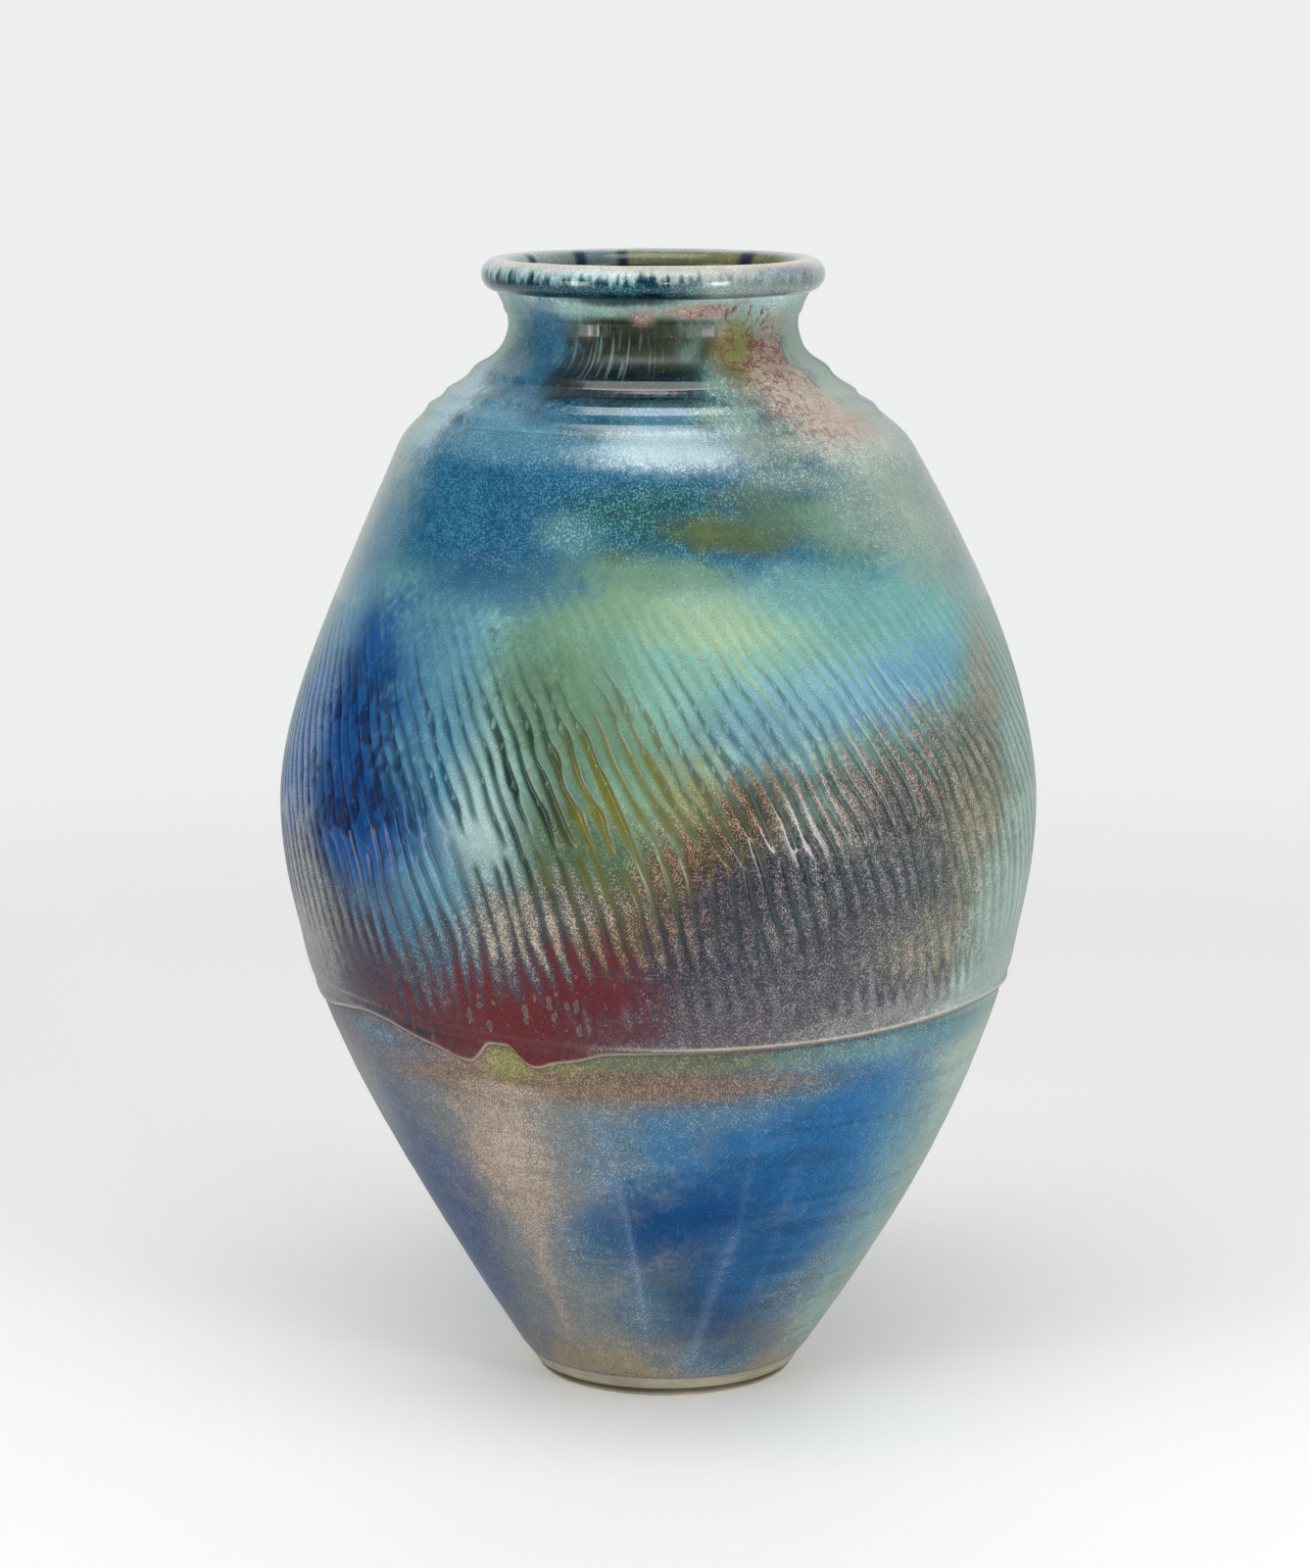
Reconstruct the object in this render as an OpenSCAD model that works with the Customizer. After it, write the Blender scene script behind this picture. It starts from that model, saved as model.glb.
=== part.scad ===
// Large wheel-thrown stoneware vase, 460 mm tall.
// The pot is thrown in sections that are luted together: a turned foot, a lower wall,
// a fluted belly, a shoulder, a neck with throwing rings and a rolled lip. Coats of
// glaze cover the clay outside and inside. Units are millimetres, +Z is up, and the
// origin is at the centre of the resting face. Every piece is turned about the Z axis.

/* [Overall] */
// Height from the resting face to the crest of the lip
vase_h = 460; // [450:1:480]
// Diameter at the widest part of the belly
belly_d = 309.6; // [300:0.2:320]
// Height of the widest part of the belly
belly_z = 240; // [230:1:250]
// Thickness of the fired wall, with its coats of glaze
wall_t = 7.5; // [6:0.1:9]
// Thickness of one coat of glaze
glaze_t = 0.7; // [0.5:0.1:1]

/* [Foot] */
// Diameter of the foot where it meets the table
foot_d = 105.8; // [100:0.2:112]
// Height of the turned foot, which is also the thickness of the floor
foot_h = 12; // [10:0.5:14]
// Diameter over the glaze at the top of the foot
foot_top_d = 121; // [118:0.5:124]
// Width of the ring that the vase stands on
foot_ring_w = 12; // [8:0.5:16]
// Depth of the shallow recess under the floor
recess_h = 3; // [2:0.5:4]
// Bevel on the edges of the foot ring
foot_bevel = 1; // [0.5:0.1:1.5]
// Radius of the fine groove turned round the top of the foot
groove_r = 0.8; // [0.5:0.1:1]
// Height of the middle of that groove
groove_z = 10; // [9:0.1:10.5]
// Radius of the rounded corner inside, between the wall and the floor
corner_r = 14; // [10:1:20]

/* [Lower wall] */
// Height of the join between the lower wall and the belly
seam_z = 167; // [160:1:175]
// Lean of the wall above the foot, from horizontal, in degrees
lower_angle = 56.8; // [54:0.1:60]
// How far the wall keeps that lean
lower_pull = 62; // [50:1:75]
// How far the wall stays upright below the widest part
belly_pull_down = 82; // [70:1:95]
// Radius of the coil of clay pressed into the join
bead_r = 3.2; // [2.5:0.1:4]
// How far the middle of that coil lies inside the clay's face
bead_sink = 1.8; // [1.2:0.1:2.2]

/* [Shoulder] */
// Height where the fluting fades out and the shoulder begins
flute_top_z = 325; // [315:1:335]
// Distance from the crest of the lip down to the edge of the shoulder
shoulder_drop = 74; // [70:1:78]
// Diameter at the edge of the shoulder
shoulder_d = 207.4; // [200:0.2:214]
// Lean of the shoulder there, from horizontal, in degrees
shoulder_angle = 62.8; // [58:0.1:66]
// How far the wall stays upright above the widest part
belly_pull_up = 43; // [35:1:50]
// How far the shoulder keeps its lean below its edge
shoulder_pull = 46.7; // [40:0.1:52]

/* [Neck] */
// Distance from the crest of the lip down to the join at the base of the neck
neck_drop = 63; // [60:1:66]
// Distance from the crest of the lip down to the throat
throat_drop = 27; // [25:0.5:29]
// Outside diameter of the throat
throat_d = 116.6; // [112:0.2:122]
// How far the shoulder keeps its lean above its edge
cove_pull = 13; // [10:0.5:16]
// How far the neck stays upright below the throat
throat_pull = 13.5; // [10:0.5:16]
// Lean of the flare below the lip, from horizontal, in degrees
flare_angle = 60; // [55:1:70]
// Length of the handles that shape the flare
flare_pull = 5; // [4:0.5:6]
// Distance from the crest of the lip down to the edge of the highest throwing ring
high_ring_drop = 43.5; // [42:0.5:45]
// Distance from the crest of the lip down to the edge of the middle throwing ring
mid_ring_drop = 53; // [51:0.5:54]
// Distance from the crest of the lip down to the edge of the lowest throwing ring
low_ring_drop = 59; // [58.5:0.5:59.5]
// Height that a throwing ring stands out of the neck
ring_h = 1.2; // [0.3:0.1:1.5]
// How far up the neck a throwing ring takes to rise to its edge
ring_rise = 3.5; // [2.5:0.5:4]
// How far up the neck it takes to fall away again above its edge
ring_fall = 3; // [2:0.5:4]
// Height of the plain band under the lip
band_h = 9.5; // [7:0.5:11]
// How far that band stands out of the neck
band_step = 0.7; // [0:0.1:1]

/* [Lip] */
// Radius of the rolled lip
roll_r = 6.6; // [6:0.1:7.2]
// Diameter of the circle on which the middle of the roll lies
roll_d = 125.4; // [123:0.2:128]

/* [Hidden] */
$fn = 96;

// Steps along each curve of the outline, and the height between a wall's levels
CURVE_STEPS = 32;
LEVEL_H = 4;
NECK_LEVEL_H = 1;
ARC_STEP = 7.5;

// Heights that follow from the driving dimensions
roll_z = vase_h - roll_r;
lip_z = vase_h - 2 * roll_r;
neck_z = vase_h - neck_drop;
throat_z = vase_h - throat_drop;
corner_z = foot_h + corner_r;
RING_EDGES = [for (drop = [high_ring_drop, mid_ring_drop, low_ring_drop]) vase_h - drop];

// Depths of the faces below the outer face of the glaze
clay_face = glaze_t;
clay_back = wall_t - glaze_t;
liner_face = wall_t;

// Points of the outline, as [radius, height]
foot_pt = [foot_top_d / 2, foot_h];
belly_pt = [belly_d / 2, belly_z];
shoulder_pt = [shoulder_d / 2, vase_h - shoulder_drop];
throat_pt = [throat_d / 2, throat_z];
lip_pt = [roll_d / 2, lip_z];

// A point on the cubic curve with end points a and d and handles b and c
function bezier(a, b, c, d, t) =
    pow(1 - t, 3) * a + 3 * pow(1 - t, 2) * t * b + 3 * (1 - t) * t * t * c + pow(t, 3) * d;

// A step of length 1 that leans outward at an angle from horizontal
function heading(angle) = [cos(angle), sin(angle)];

// The four curves of the outer face, from the foot up to the lip
lower_heading = heading(lower_angle);
shoulder_heading = heading(180 - shoulder_angle);
flare_heading = heading(flare_angle);
CURVES = [
    [foot_pt, foot_pt + lower_pull * lower_heading, belly_pt - [0, belly_pull_down], belly_pt],
    [belly_pt, belly_pt + [0, belly_pull_up], shoulder_pt - shoulder_pull * shoulder_heading, shoulder_pt],
    [shoulder_pt, shoulder_pt + cove_pull * shoulder_heading, throat_pt - [0, throat_pull], throat_pt],
    [throat_pt, throat_pt + [0, flare_pull], lip_pt - flare_pull * flare_heading, lip_pt],
];

// The outline as [height, radius] pairs, run on a little past both ends
OUTLINE = [
    for (p = concat(
        [foot_pt - 2 * lower_heading],
        [for (c = CURVES, i = [0:CURVE_STEPS - 1]) bezier(c[0], c[1], c[2], c[3], i / CURVE_STEPS)],
        [lip_pt, lip_pt + 2 * flare_heading]
    )) [p[1], p[0]]
];

// Slope of the outline, as radius gained for each millimetre of height
function slope(z) = (lookup(z + 1, OUTLINE) - lookup(z - 1, OUTLINE)) / 2;

// How far one throwing ring stands out at a height: it rises to its edge and falls away above it
function ring_out(z, edge) =
    z < edge ? ring_h * max(0, 1 - (edge - z) / ring_rise) : ring_h * max(0, 1 - (z - edge) / ring_fall);

// How far the band under the lip stands out at a height
function band_out(z) = band_step * min(1, max(0, z - (lip_z - band_h)));

// How far the rings and the band stand out of the neck at a height
function neck_relief(z) = z < neck_z ? 0 : max([for (edge = RING_EDGES) ring_out(z, edge)]) + band_out(z);

// Radius of the face that lies a given depth below the outer face of the glaze
function face_r(z, depth) = lookup(z, OUTLINE) + neck_relief(z) - depth * sqrt(1 + pow(slope(z), 2));

// Heights of the levels from one height to another
function levels(z0, z1, step) = let (n = ceil((z1 - z0) / step)) [for (i = [0:n]) z0 + (z1 - z0) * i / n];

// One face of a wall section, from its bottom level to its top level
function side(z0, z1, depth, step) = [for (z = levels(z0, z1, step)) [face_r(z, depth), z]];

// The inner face near the floor, where a fillet of radius r turns the wall into the floor
function corner_side(depth, r) =
    [for (a = [0:ARC_STEP:90 - ARC_STEP])
        let (z = corner_z - r * cos(a)) [face_r(z, depth) - r * (1 - sin(a)), z]];

// The inner face from the floor up to a height
function inner_side(depth, r, top) = concat(corner_side(depth, r), side(corner_z, top, depth, LEVEL_H));

// An arc round the middle of the rolled lip, from one angle to another
function roll_arc(r, a0, a1) =
    [for (a = [a0:ARC_STEP:a1]) [roll_d / 2 + r * cos(a), roll_z + r * sin(a)]];

// A list of points in the opposite order
function reversed(points) = [for (i = [len(points) - 1:-1:0]) points[i]];

// The cross-section between an outer face and an inner face
module profile(outer, inner) {
    polygon(concat(outer, reversed(inner)));
}

// The cross-section of the coil in the join
module bead_profile() {
    translate([face_r(seam_z, clay_face) - bead_sink, seam_z]) circle(r = bead_r);
}

// Turned foot: the floor of the vase, standing on a narrow ring, with a fine groove at its top
module foot() {
    foot_r = foot_d / 2;
    top_r = face_r(foot_h, clay_face);
    recess_r = foot_r - foot_ring_w;
    groove_face_r = foot_r + (top_r - foot_r) * groove_z / foot_h;
    color("#b3ab98") rotate_extrude() difference() {
        polygon([
            [0, recess_h],
            [recess_r - foot_bevel, recess_h],
            [recess_r, 0],
            [foot_r - foot_bevel, 0],
            [foot_r, foot_bevel],
            [top_r, foot_h],
            [0, foot_h],
        ]);
        translate([groove_face_r, groove_z]) circle(r = groove_r, $fn = 32);
    }
}

// Lower wall: clay from the top of the foot to the join
module lower_wall() {
    color("#8f8674") rotate_extrude() difference() {
        profile(side(foot_h, seam_z, clay_face, LEVEL_H), inner_side(clay_back, corner_r, seam_z));
        bead_profile();
    }
}

// Join bead: the coil pressed into the join, which shows as a low ridge
module join_bead() {
    color("#c9cfd0") rotate_extrude() bead_profile();
}

// Belly wall: the clay that carries the fluting, from the join to the shoulder
module belly_wall() {
    color("#93897a") rotate_extrude() difference() {
        profile(side(seam_z, flute_top_z, clay_face, LEVEL_H), side(seam_z, flute_top_z, clay_back, LEVEL_H));
        bead_profile();
    }
}

// Shoulder wall: clay from the fluting to the base of the neck
module shoulder_wall() {
    color("#8c8476") rotate_extrude()
        profile(side(flute_top_z, neck_z, clay_face, LEVEL_H), side(flute_top_z, neck_z, clay_back, LEVEL_H));
}

// Neck collar: clay of the neck, with its throwing rings, up to the lip
module neck_collar() {
    color("#91887a") rotate_extrude()
        profile(side(neck_z, lip_z, clay_face, NECK_LEVEL_H), side(neck_z, lip_z, clay_back, NECK_LEVEL_H));
}

// Rim roll: the lip, rolled outward over the neck
module rim_roll() {
    color("#a89f8e") rotate_extrude()
        polygon(concat(
            [[face_r(lip_z, clay_back), lip_z], lip_pt],
            roll_arc(roll_r - glaze_t, -90, 180)
        ));
}

// Liner glaze: the coat over the whole inside, up to the crest side of the roll
module liner_glaze() {
    roll_in_r = roll_d / 2 - roll_r;
    outer = concat(
        [[0, foot_h]],
        inner_side(clay_back, corner_r, neck_z),
        side(neck_z, lip_z, clay_back, NECK_LEVEL_H),
        [[roll_in_r + glaze_t, roll_z]]
    );
    inner = concat(
        [[0, foot_h + glaze_t]],
        inner_side(liner_face, corner_r - glaze_t, neck_z),
        side(neck_z, lip_z, liner_face, NECK_LEVEL_H),
        [[roll_in_r, roll_z]]
    );
    color("#7d8a52") rotate_extrude() profile(outer, inner);
}

// Lower glaze: the blue coat from the foot to the join
module lower_glaze() {
    color("#2f5f9e") rotate_extrude() difference() {
        profile(side(foot_h, seam_z, 0, LEVEL_H), side(foot_h, seam_z, clay_face, LEVEL_H));
        bead_profile();
    }
}

// Belly glaze: the mottled coat over the fluting
module belly_glaze() {
    color("#5f7f86") rotate_extrude() difference() {
        profile(side(seam_z, flute_top_z, 0, LEVEL_H), side(seam_z, flute_top_z, clay_face, LEVEL_H));
        bead_profile();
    }
}

// Shoulder glaze: the blue-green coat over the shoulder
module shoulder_glaze() {
    color("#4f8f9c") rotate_extrude()
        profile(side(flute_top_z, neck_z, 0, LEVEL_H), side(flute_top_z, neck_z, clay_face, LEVEL_H));
}

// Neck glaze: the coat over the neck and its throwing rings
module neck_glaze() {
    color("#5d7a52") rotate_extrude()
        profile(side(neck_z, lip_z, 0, NECK_LEVEL_H), side(neck_z, lip_z, clay_face, NECK_LEVEL_H));
}

// Rim glaze: the pale coat round the rolled lip
module rim_glaze() {
    color("#b9d2cf") rotate_extrude()
        profile(roll_arc(roll_r, -90, 180), roll_arc(roll_r - glaze_t, -90, 180));
}

foot();
lower_wall();
join_bead();
belly_wall();
shoulder_wall();
neck_collar();
rim_roll();
liner_glaze();
lower_glaze();
belly_glaze();
shoulder_glaze();
neck_glaze();
rim_glaze();
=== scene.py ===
"""Looks of a wheel-thrown stoneware vase: fluted clay under mottled, running glazes.

Everything is in metres in the CAD frame: +Z up, the origin under the middle of the foot, the
front facing -Y. An angle is measured round the vase in degrees from the front, positive
towards +X. Heights and reliefs written in millimetres are turned into metres with MM.
"""
import math

import bpy
import numpy as np
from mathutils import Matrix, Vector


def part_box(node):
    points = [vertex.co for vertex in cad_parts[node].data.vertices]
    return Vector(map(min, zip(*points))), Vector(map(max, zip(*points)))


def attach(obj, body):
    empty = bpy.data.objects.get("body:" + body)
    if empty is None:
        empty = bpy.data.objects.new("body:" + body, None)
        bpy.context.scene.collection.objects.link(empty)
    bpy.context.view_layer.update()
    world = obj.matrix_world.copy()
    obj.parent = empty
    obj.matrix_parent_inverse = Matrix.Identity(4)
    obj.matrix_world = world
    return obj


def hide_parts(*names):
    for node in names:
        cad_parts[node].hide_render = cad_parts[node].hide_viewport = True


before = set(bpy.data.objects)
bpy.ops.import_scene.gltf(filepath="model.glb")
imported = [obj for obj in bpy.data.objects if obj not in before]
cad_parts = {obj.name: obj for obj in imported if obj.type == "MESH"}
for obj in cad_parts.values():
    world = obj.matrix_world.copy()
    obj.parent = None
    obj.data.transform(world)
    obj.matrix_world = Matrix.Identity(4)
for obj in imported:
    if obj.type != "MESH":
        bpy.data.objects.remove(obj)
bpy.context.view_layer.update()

MM = 0.001


# ---------------------------------------------------------------- measures taken from the frame

def vertices(node):
    """The corners of a CAD node, one row each."""
    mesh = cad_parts[node].data
    corners = np.empty(len(mesh.vertices) * 3, np.float32)
    mesh.vertices.foreach_get("co", corners)
    return corners.reshape(-1, 3).astype(float)


def turned_outline(nodes, pick, skip=(0.0, 0.0), least_gap=0.2 * MM):
    """Heights of the levels of turned solids, and the radius that pick chooses at each."""
    corners = np.concatenate([vertices(n) for n in nodes])
    radius = np.hypot(corners[:, 0], corners[:, 1])
    height = np.round(corners[:, 2], 5)
    found = []
    for level in np.unique(height):
        clear = not skip[0] < level < skip[1]
        if clear and (not found or level - found[-1][0] > least_gap):
            found.append((level, pick(radius[height == level])))
    return np.array(found).T


class Curve:
    """A smooth curve through points, which runs straight on past its ends."""

    def __init__(self, x, y):
        self.x = np.asarray(x, float)
        self.y = np.asarray(y, float)
        self.slope = np.gradient(self.y, self.x)

    def __call__(self, at):
        at = np.asarray(at, float)
        i = np.clip(np.searchsorted(self.x, at) - 1, 0, len(self.x) - 2)
        width = self.x[i + 1] - self.x[i]
        t = np.clip((at - self.x[i]) / width, 0, 1)
        value = (
            (1 + 2 * t) * (1 - t) ** 2 * self.y[i]
            + t * (1 - t) ** 2 * width * self.slope[i]
            + t * t * (3 - 2 * t) * self.y[i + 1]
            + t * t * (t - 1) * width * self.slope[i + 1]
        )
        below = np.minimum(at - self.x[0], 0) * self.slope[0]
        above = np.maximum(at - self.x[-1], 0) * self.slope[-1]
        return value + below + above


BEAD_LOW, BEAD_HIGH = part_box("join_bead")
RIM_LOW, RIM_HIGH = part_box("rim_glaze")
FOOT_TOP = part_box("foot")[1].z
GLAZE_START = FOOT_TOP - 5.6 * MM
SEAM = (BEAD_LOW.z + BEAD_HIGH.z) / 2
FLUTE_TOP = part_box("belly_glaze")[1].z
NECK_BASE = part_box("neck_glaze")[0].z
LIP_BASE = RIM_LOW.z
ROLL_R = (RIM_HIGH.z - RIM_LOW.z) / 2
ROLL_Z = RIM_LOW.z + ROLL_R
ROLL_CENTRE = RIM_HIGH.x - ROLL_R
# The stretch where the flutes are worked out
FLUTED_LOW = 150 * MM
FLUTED_HIGH = 345 * MM
# Heights where a coat of glaze is split into pieces, and how far the lower coat goes under the upper
LOWER_SPLIT = 88 * MM
BELLY_SPLITS = (201 * MM, 240 * MM, 280 * MM)
NECK_SPLIT = 413.3 * MM
TUCKED = 4.5 * MM
COAT_NODES = ["lower_glaze", "belly_glaze", "shoulder_glaze", "neck_glaze"]
OUTER = Curve(*turned_outline(COAT_NODES, np.max, (BEAD_LOW.z - MM, BEAD_HIGH.z + MM)))
GLAZE_T = 0.7 * MM
WALL_T = 7.5 * MM
RECESS_DEPTH = 3 * MM


# ---------------------------------------------------------------- noise round the vase

def smooth(x, low, high):
    """0 below low, 1 above high, and an even S between them."""
    t = np.clip((x - low) / (high - low), 0, 1)
    return t * t * (3 - 2 * t)


def hump(x, rise_from, rise_to, fall_from, fall_to):
    """A smooth rise from 0 to 1, and further on a smooth fall back to 0."""
    return smooth(x, rise_from, rise_to) * (1 - smooth(x, fall_from, fall_to))


def bell(x, middle, half_width, power=2):
    """1 at the middle, falling away evenly on both sides. A high power gives it a flat top."""
    return np.exp(-((x - middle) / half_width) ** power)


def wrapped(angle):
    """An angle between -180 and 180 degrees."""
    return (angle + 180) % 360 - 180


def facing(angle, towards):
    """1 where the vase faces a direction, -1 where it faces away from it."""
    return np.cos(np.radians(angle - towards))


def noise(angle, height, cell_angle, cell_height, seed):
    """Smooth noise from -1 to 1 on the vase's surface, which closes on itself round the back."""
    columns = max(3, round(360 / cell_angle))
    rows = 97
    table = np.random.default_rng(seed).random((rows, columns)) * 2 - 1
    across = (np.asarray(angle) % 360) / 360 * columns
    up = np.asarray(height) / cell_height
    column = np.floor(across).astype(int)
    row = np.floor(up).astype(int)
    across = smooth(across - column, 0, 1)
    up = smooth(up - row, 0, 1)

    def along(level):
        """Noise along one level of the table."""
        start = table[level % rows, column % columns]
        return start * (1 - across) + table[level % rows, (column + 1) % columns] * across

    return along(row) * (1 - up) + along(row + 1) * up


def clouds(angle, height, cell_angle, cell_height, seed, octaves=3):
    """Noise with finer and fainter noise on top of it, from about -1 to 1."""
    total = 0
    weight = 0
    for i in range(octaves):
        share = 0.55 ** i
        total = total + share * noise(angle, height, cell_angle / 2 ** i, cell_height / 2 ** i, seed + i)
        weight += share
    return total / weight * 1.5


# ---------------------------------------------------------------- shape of the thrown pot

# The axis of a hand-thrown pot wanders: sideways drift in mm at heights in mm
DRIFT_X = Curve(
    [0, 80, 160, 260, 340, 385, 405, 430, 460],
    [2.2, 2.8, 0.4, -0.3, 0.6, -1.6, -3.6, -2.8, -2.6],
)
DRIFT_Y = Curve([0, 120, 240, 360, 460], [0.3, -0.4, 0.2, 0.8, 0.2])

# Slant of the flutes from upright, in degrees, at heights in mm
FLUTE_SLANT = Curve([150, 200, 220, 240, 260, 285, 310, 340], [8, 12, 15, 20, 26, 31, 32, 30])
FLUTES = 128
FLUTE_DEPTH = 1.35 * MM
FLUTE_HALF_WIDTH = 0.165

# Height of the join's ridge round the vase, in mm at degrees
RIDGE = Curve(
    [-180, -150, -120, -90, -62, -38, -15, 0, 30, 62, 90, 120, 150, 180],
    [167, 166, 168, 170.5, 174, 171.5, 168, 167, 168, 170.5, 167, 164.5, 165, 167],
)
RIDGE_H = 0.18 * MM
# How far the thrown pot is from round, as a share of its radius
OUT_OF_ROUND = 0.0022

# Lower edge of the upper glaze round the vase, in mm at degrees, with its runs
DRIP_EDGE = Curve(
    [
        -180, -172, -165, -158, -152, -146, -140, -132, -124, -116, -108, -100, -92, -84, -76, -70,
        -62, -54, -48, -42, -37, -33.5, -31.5, -29.8, -28.4, -26, -24, -22.6, -21.2, -19.6, -17.5, -13,
        -9, -4, 4, 14, 26, 38, 50, 62, 74, 86, 96, 104, 112, 118, 123, 128, 134, 142, 150, 160, 170, 180,
    ],
    [
        164.5, 163, 159, 153, 151, 155, 161, 163.5, 160, 157, 160, 164, 166, 164, 162, 163.5,
        166.5, 168.3, 166.5, 162.5, 159.5, 156.8, 157, 160.5, 164.3, 165.2, 164.4, 160, 157.2, 157, 158.8,
        161, 163.8, 164.6, 164.9, 165.3, 165.9, 166.8, 167.8, 168.4, 167.6, 165.5, 163, 160, 161, 158, 152,
        150.5,
        157, 162, 163.5, 162, 164, 164.5,
    ],
)
EDGE_T = 0.85 * MM

# Throwing rings on the neck, in mm: the heights of a ring's lower and upper flanks, half the
# height of a flank, and how far the ring stands out
NECK_RINGS = ((398.5, 401.8, 1.7, 0.45), (405.4, 408.9, 1.7, 0.5), (413.3, 418.5, 2.2, 0.4))
# The hollow under the lip: its height, half height and depth in mm
NECK_HOLLOW = (422.5, 5.0, 1.3)
# Dents: angle, and height, half width and depth in mm
DENTS = ((-22, 24, 3.0, 0.9), (43, 68, 3.2, 1.0), (-55, 17, 2.2, 0.5), (140, 52, 3.5, 0.8))


def flute_turn():
    """How far round, in degrees, a flute has turned at each height."""
    height = np.linspace(FLUTED_LOW - 10 * MM, FLUTED_HIGH + 15 * MM, 441)
    rate = np.tan(np.radians(FLUTE_SLANT(height / MM))) / OUTER(height)
    turned = np.concatenate([[0], np.cumsum((rate[1:] + rate[:-1]) / 2 * np.diff(height))])
    return Curve(height, np.degrees(turned))


FLUTE_TURN = flute_turn()


def per_flute(count, low, high, seed):
    """A random value from low to high for each flute."""
    table = np.random.default_rng(seed).uniform(low, high, FLUTES)
    return table[count % FLUTES]


def flute_place(angle, height):
    """Place round the vase counted in flutes, and the number of the flute nearest to it."""
    wander = 0.30 * clouds(angle, height, 9, 30 * MM, 11, 2)
    place = FLUTES / 360 * (angle + FLUTE_TURN(height)) + wander
    return place, np.round(place).astype(int)


def fluting(angle, height):
    """How deep the combed flutes cut at a place, from 0 on a ridge to about 1 in a groove."""
    z = height / MM
    place, count = flute_place(angle, height)
    across = place - count

    # Long slanting strokes over the upper belly, each with its own start and end
    top = per_flute(count, 314, 338, 21) + 7 * noise(angle, 0.3, 24, MM, 22)
    end = per_flute(count, 234, 250, 23) + 4 * noise(angle, 0.3, 13, MM, 24)
    along = (top - z) / (top - end)
    chatter = noise(place * 360 / FLUTES, height, 360 / FLUTES, 10 * MM, 25)
    busy = 0.08 + 0.92 * bell(wrapped(2 * angle + 44), 0, 66)
    leaf = busy * smooth(chatter, -0.05, 0.7) * smooth(along, 0.1, 0.5)
    shift = per_flute(count, -0.09, 0.09, 26) + 0.09 * chatter * busy
    half_width = FLUTE_HALF_WIDTH * per_flute(count, 0.8, 1.15, 27) * (1 + 1.1 * leaf)
    depth = per_flute(count, 0.65, 1.0, 28) * (1 + 0.5 * leaf - 0.3 * busy * smooth(-chatter, 0, 0.8))
    upper_cut = bell(across, shift, half_width) * hump(along, 0, 0.42, 0.88, 1.0) * depth

    # Shorter, steeper strokes below them, which fade out above the join
    top = per_flute(count, 240, 254, 31)
    end = per_flute(count, 180, 198, 32) + 6 * noise(angle, 0.2, 30, MM, 33)
    along = (top - z) / (top - end)
    shift = per_flute(count, -0.14, 0.14, 34)
    depth = per_flute(count, 0.5, 0.8, 35)
    lower_cut = bell(across, shift, FLUTE_HALF_WIDTH * 1.1) * hump(along, 0, 0.12, 0.5, 1.0) * depth
    worn = hump(wrapped(angle), 6, 30, 140, 170) * (1 - smooth(z, 258, 285))
    return np.maximum(upper_cut, lower_cut) * (1 - 0.32 * worn)


def fingers(angle, height):
    """1 along the line of each flute and 0 midway between two, past the ends of the cuts as well."""
    place, count = flute_place(angle, np.clip(height, FLUTED_LOW, FLUTED_HIGH))
    return (0.5 + 0.5 * np.cos(2 * math.pi * (place - count))) * per_flute(count, 0.45, 1.25, 36)


def in_flutes(value, angle, height):
    """A value of the fluted stretch at each place, and 0 above and below that stretch."""
    fluted = (height > FLUTED_LOW) & (height < FLUTED_HIGH)
    return np.where(fluted, value(angle, np.clip(height, FLUTED_LOW, FLUTED_HIGH)), 0)


def ridge_relief(angle, height):
    """The low ridge at the join, with a fine groove under it."""
    away = (height - RIDGE(angle) * MM) / MM
    shown = 0.12 + 0.88 * hump(wrapped(angle), -8, 22, 120, 150)
    soft = shown * (0.8 + 0.2 * clouds(angle, height, 20, 40 * MM, 41, 2))
    return RIDGE_H * soft * bell(away, 0, 1.1) - 0.2 * MM * bell(away, -4.6, 1.1)


def upper_coat_relief(angle, height):
    """How far the upper glaze stands over the lower one near its edge, with a fat rounded rim."""
    inside = (height - DRIP_EDGE(angle) * MM) / MM
    rounded = np.sqrt(np.clip(1 - (1 - np.clip(inside / 1.6, 0, 1)) ** 2, 0, 1))
    fat = 0.45 * bell(inside, 2.2, 1.7)
    fade = 1 - smooth(height, SEAM + 6 * MM, SEAM + 26 * MM)
    return EDGE_T * (rounded * (1 + fat) * fade)


def throwing_marks(angle, height):
    """Rings and dents left by the fingers, strongest on the neck."""
    z = height / MM
    tilt = height + 1.5 * MM * np.sin(np.radians(angle * 2 + 40))
    rings = 0.10 * noise(0, tilt, 120, 6.5 * MM, 51) + 0.05 * noise(angle, tilt, 60, 2.6 * MM, 52)
    rings = rings + smooth(z, 404, 414) * 0.05 * noise(angle, height, 1.6, 14 * MM, 55)
    rings = rings + smooth(z, 398, 410) * 0.05 * noise(angle, tilt - 4.5 * MM, 40, 5.2 * MM, 54)
    level, half, deep = NECK_HOLLOW
    rings = rings - deep * bell(z, level, half)
    for low, high, half, rise in NECK_RINGS:
        rings = rings + rise * smooth(tilt / MM, low - half, low + half)
        rings = rings - rise * smooth(tilt / MM, high - half, high + half)
    unfluted = 1 - hump(z, 176, 200, 310, 335)
    lumps = 0.28 * clouds(angle, height, 50, 60 * MM, 53, 2)
    dents = 0
    for at, up, wide, deep in DENTS:
        across = (angle - at) * math.radians(1) * OUTER(height) / MM
        dents = dents + deep * bell(across, 0, wide) * bell(z, up, wide)
    return MM * (rings * unfluted + lumps - dents)


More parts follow.
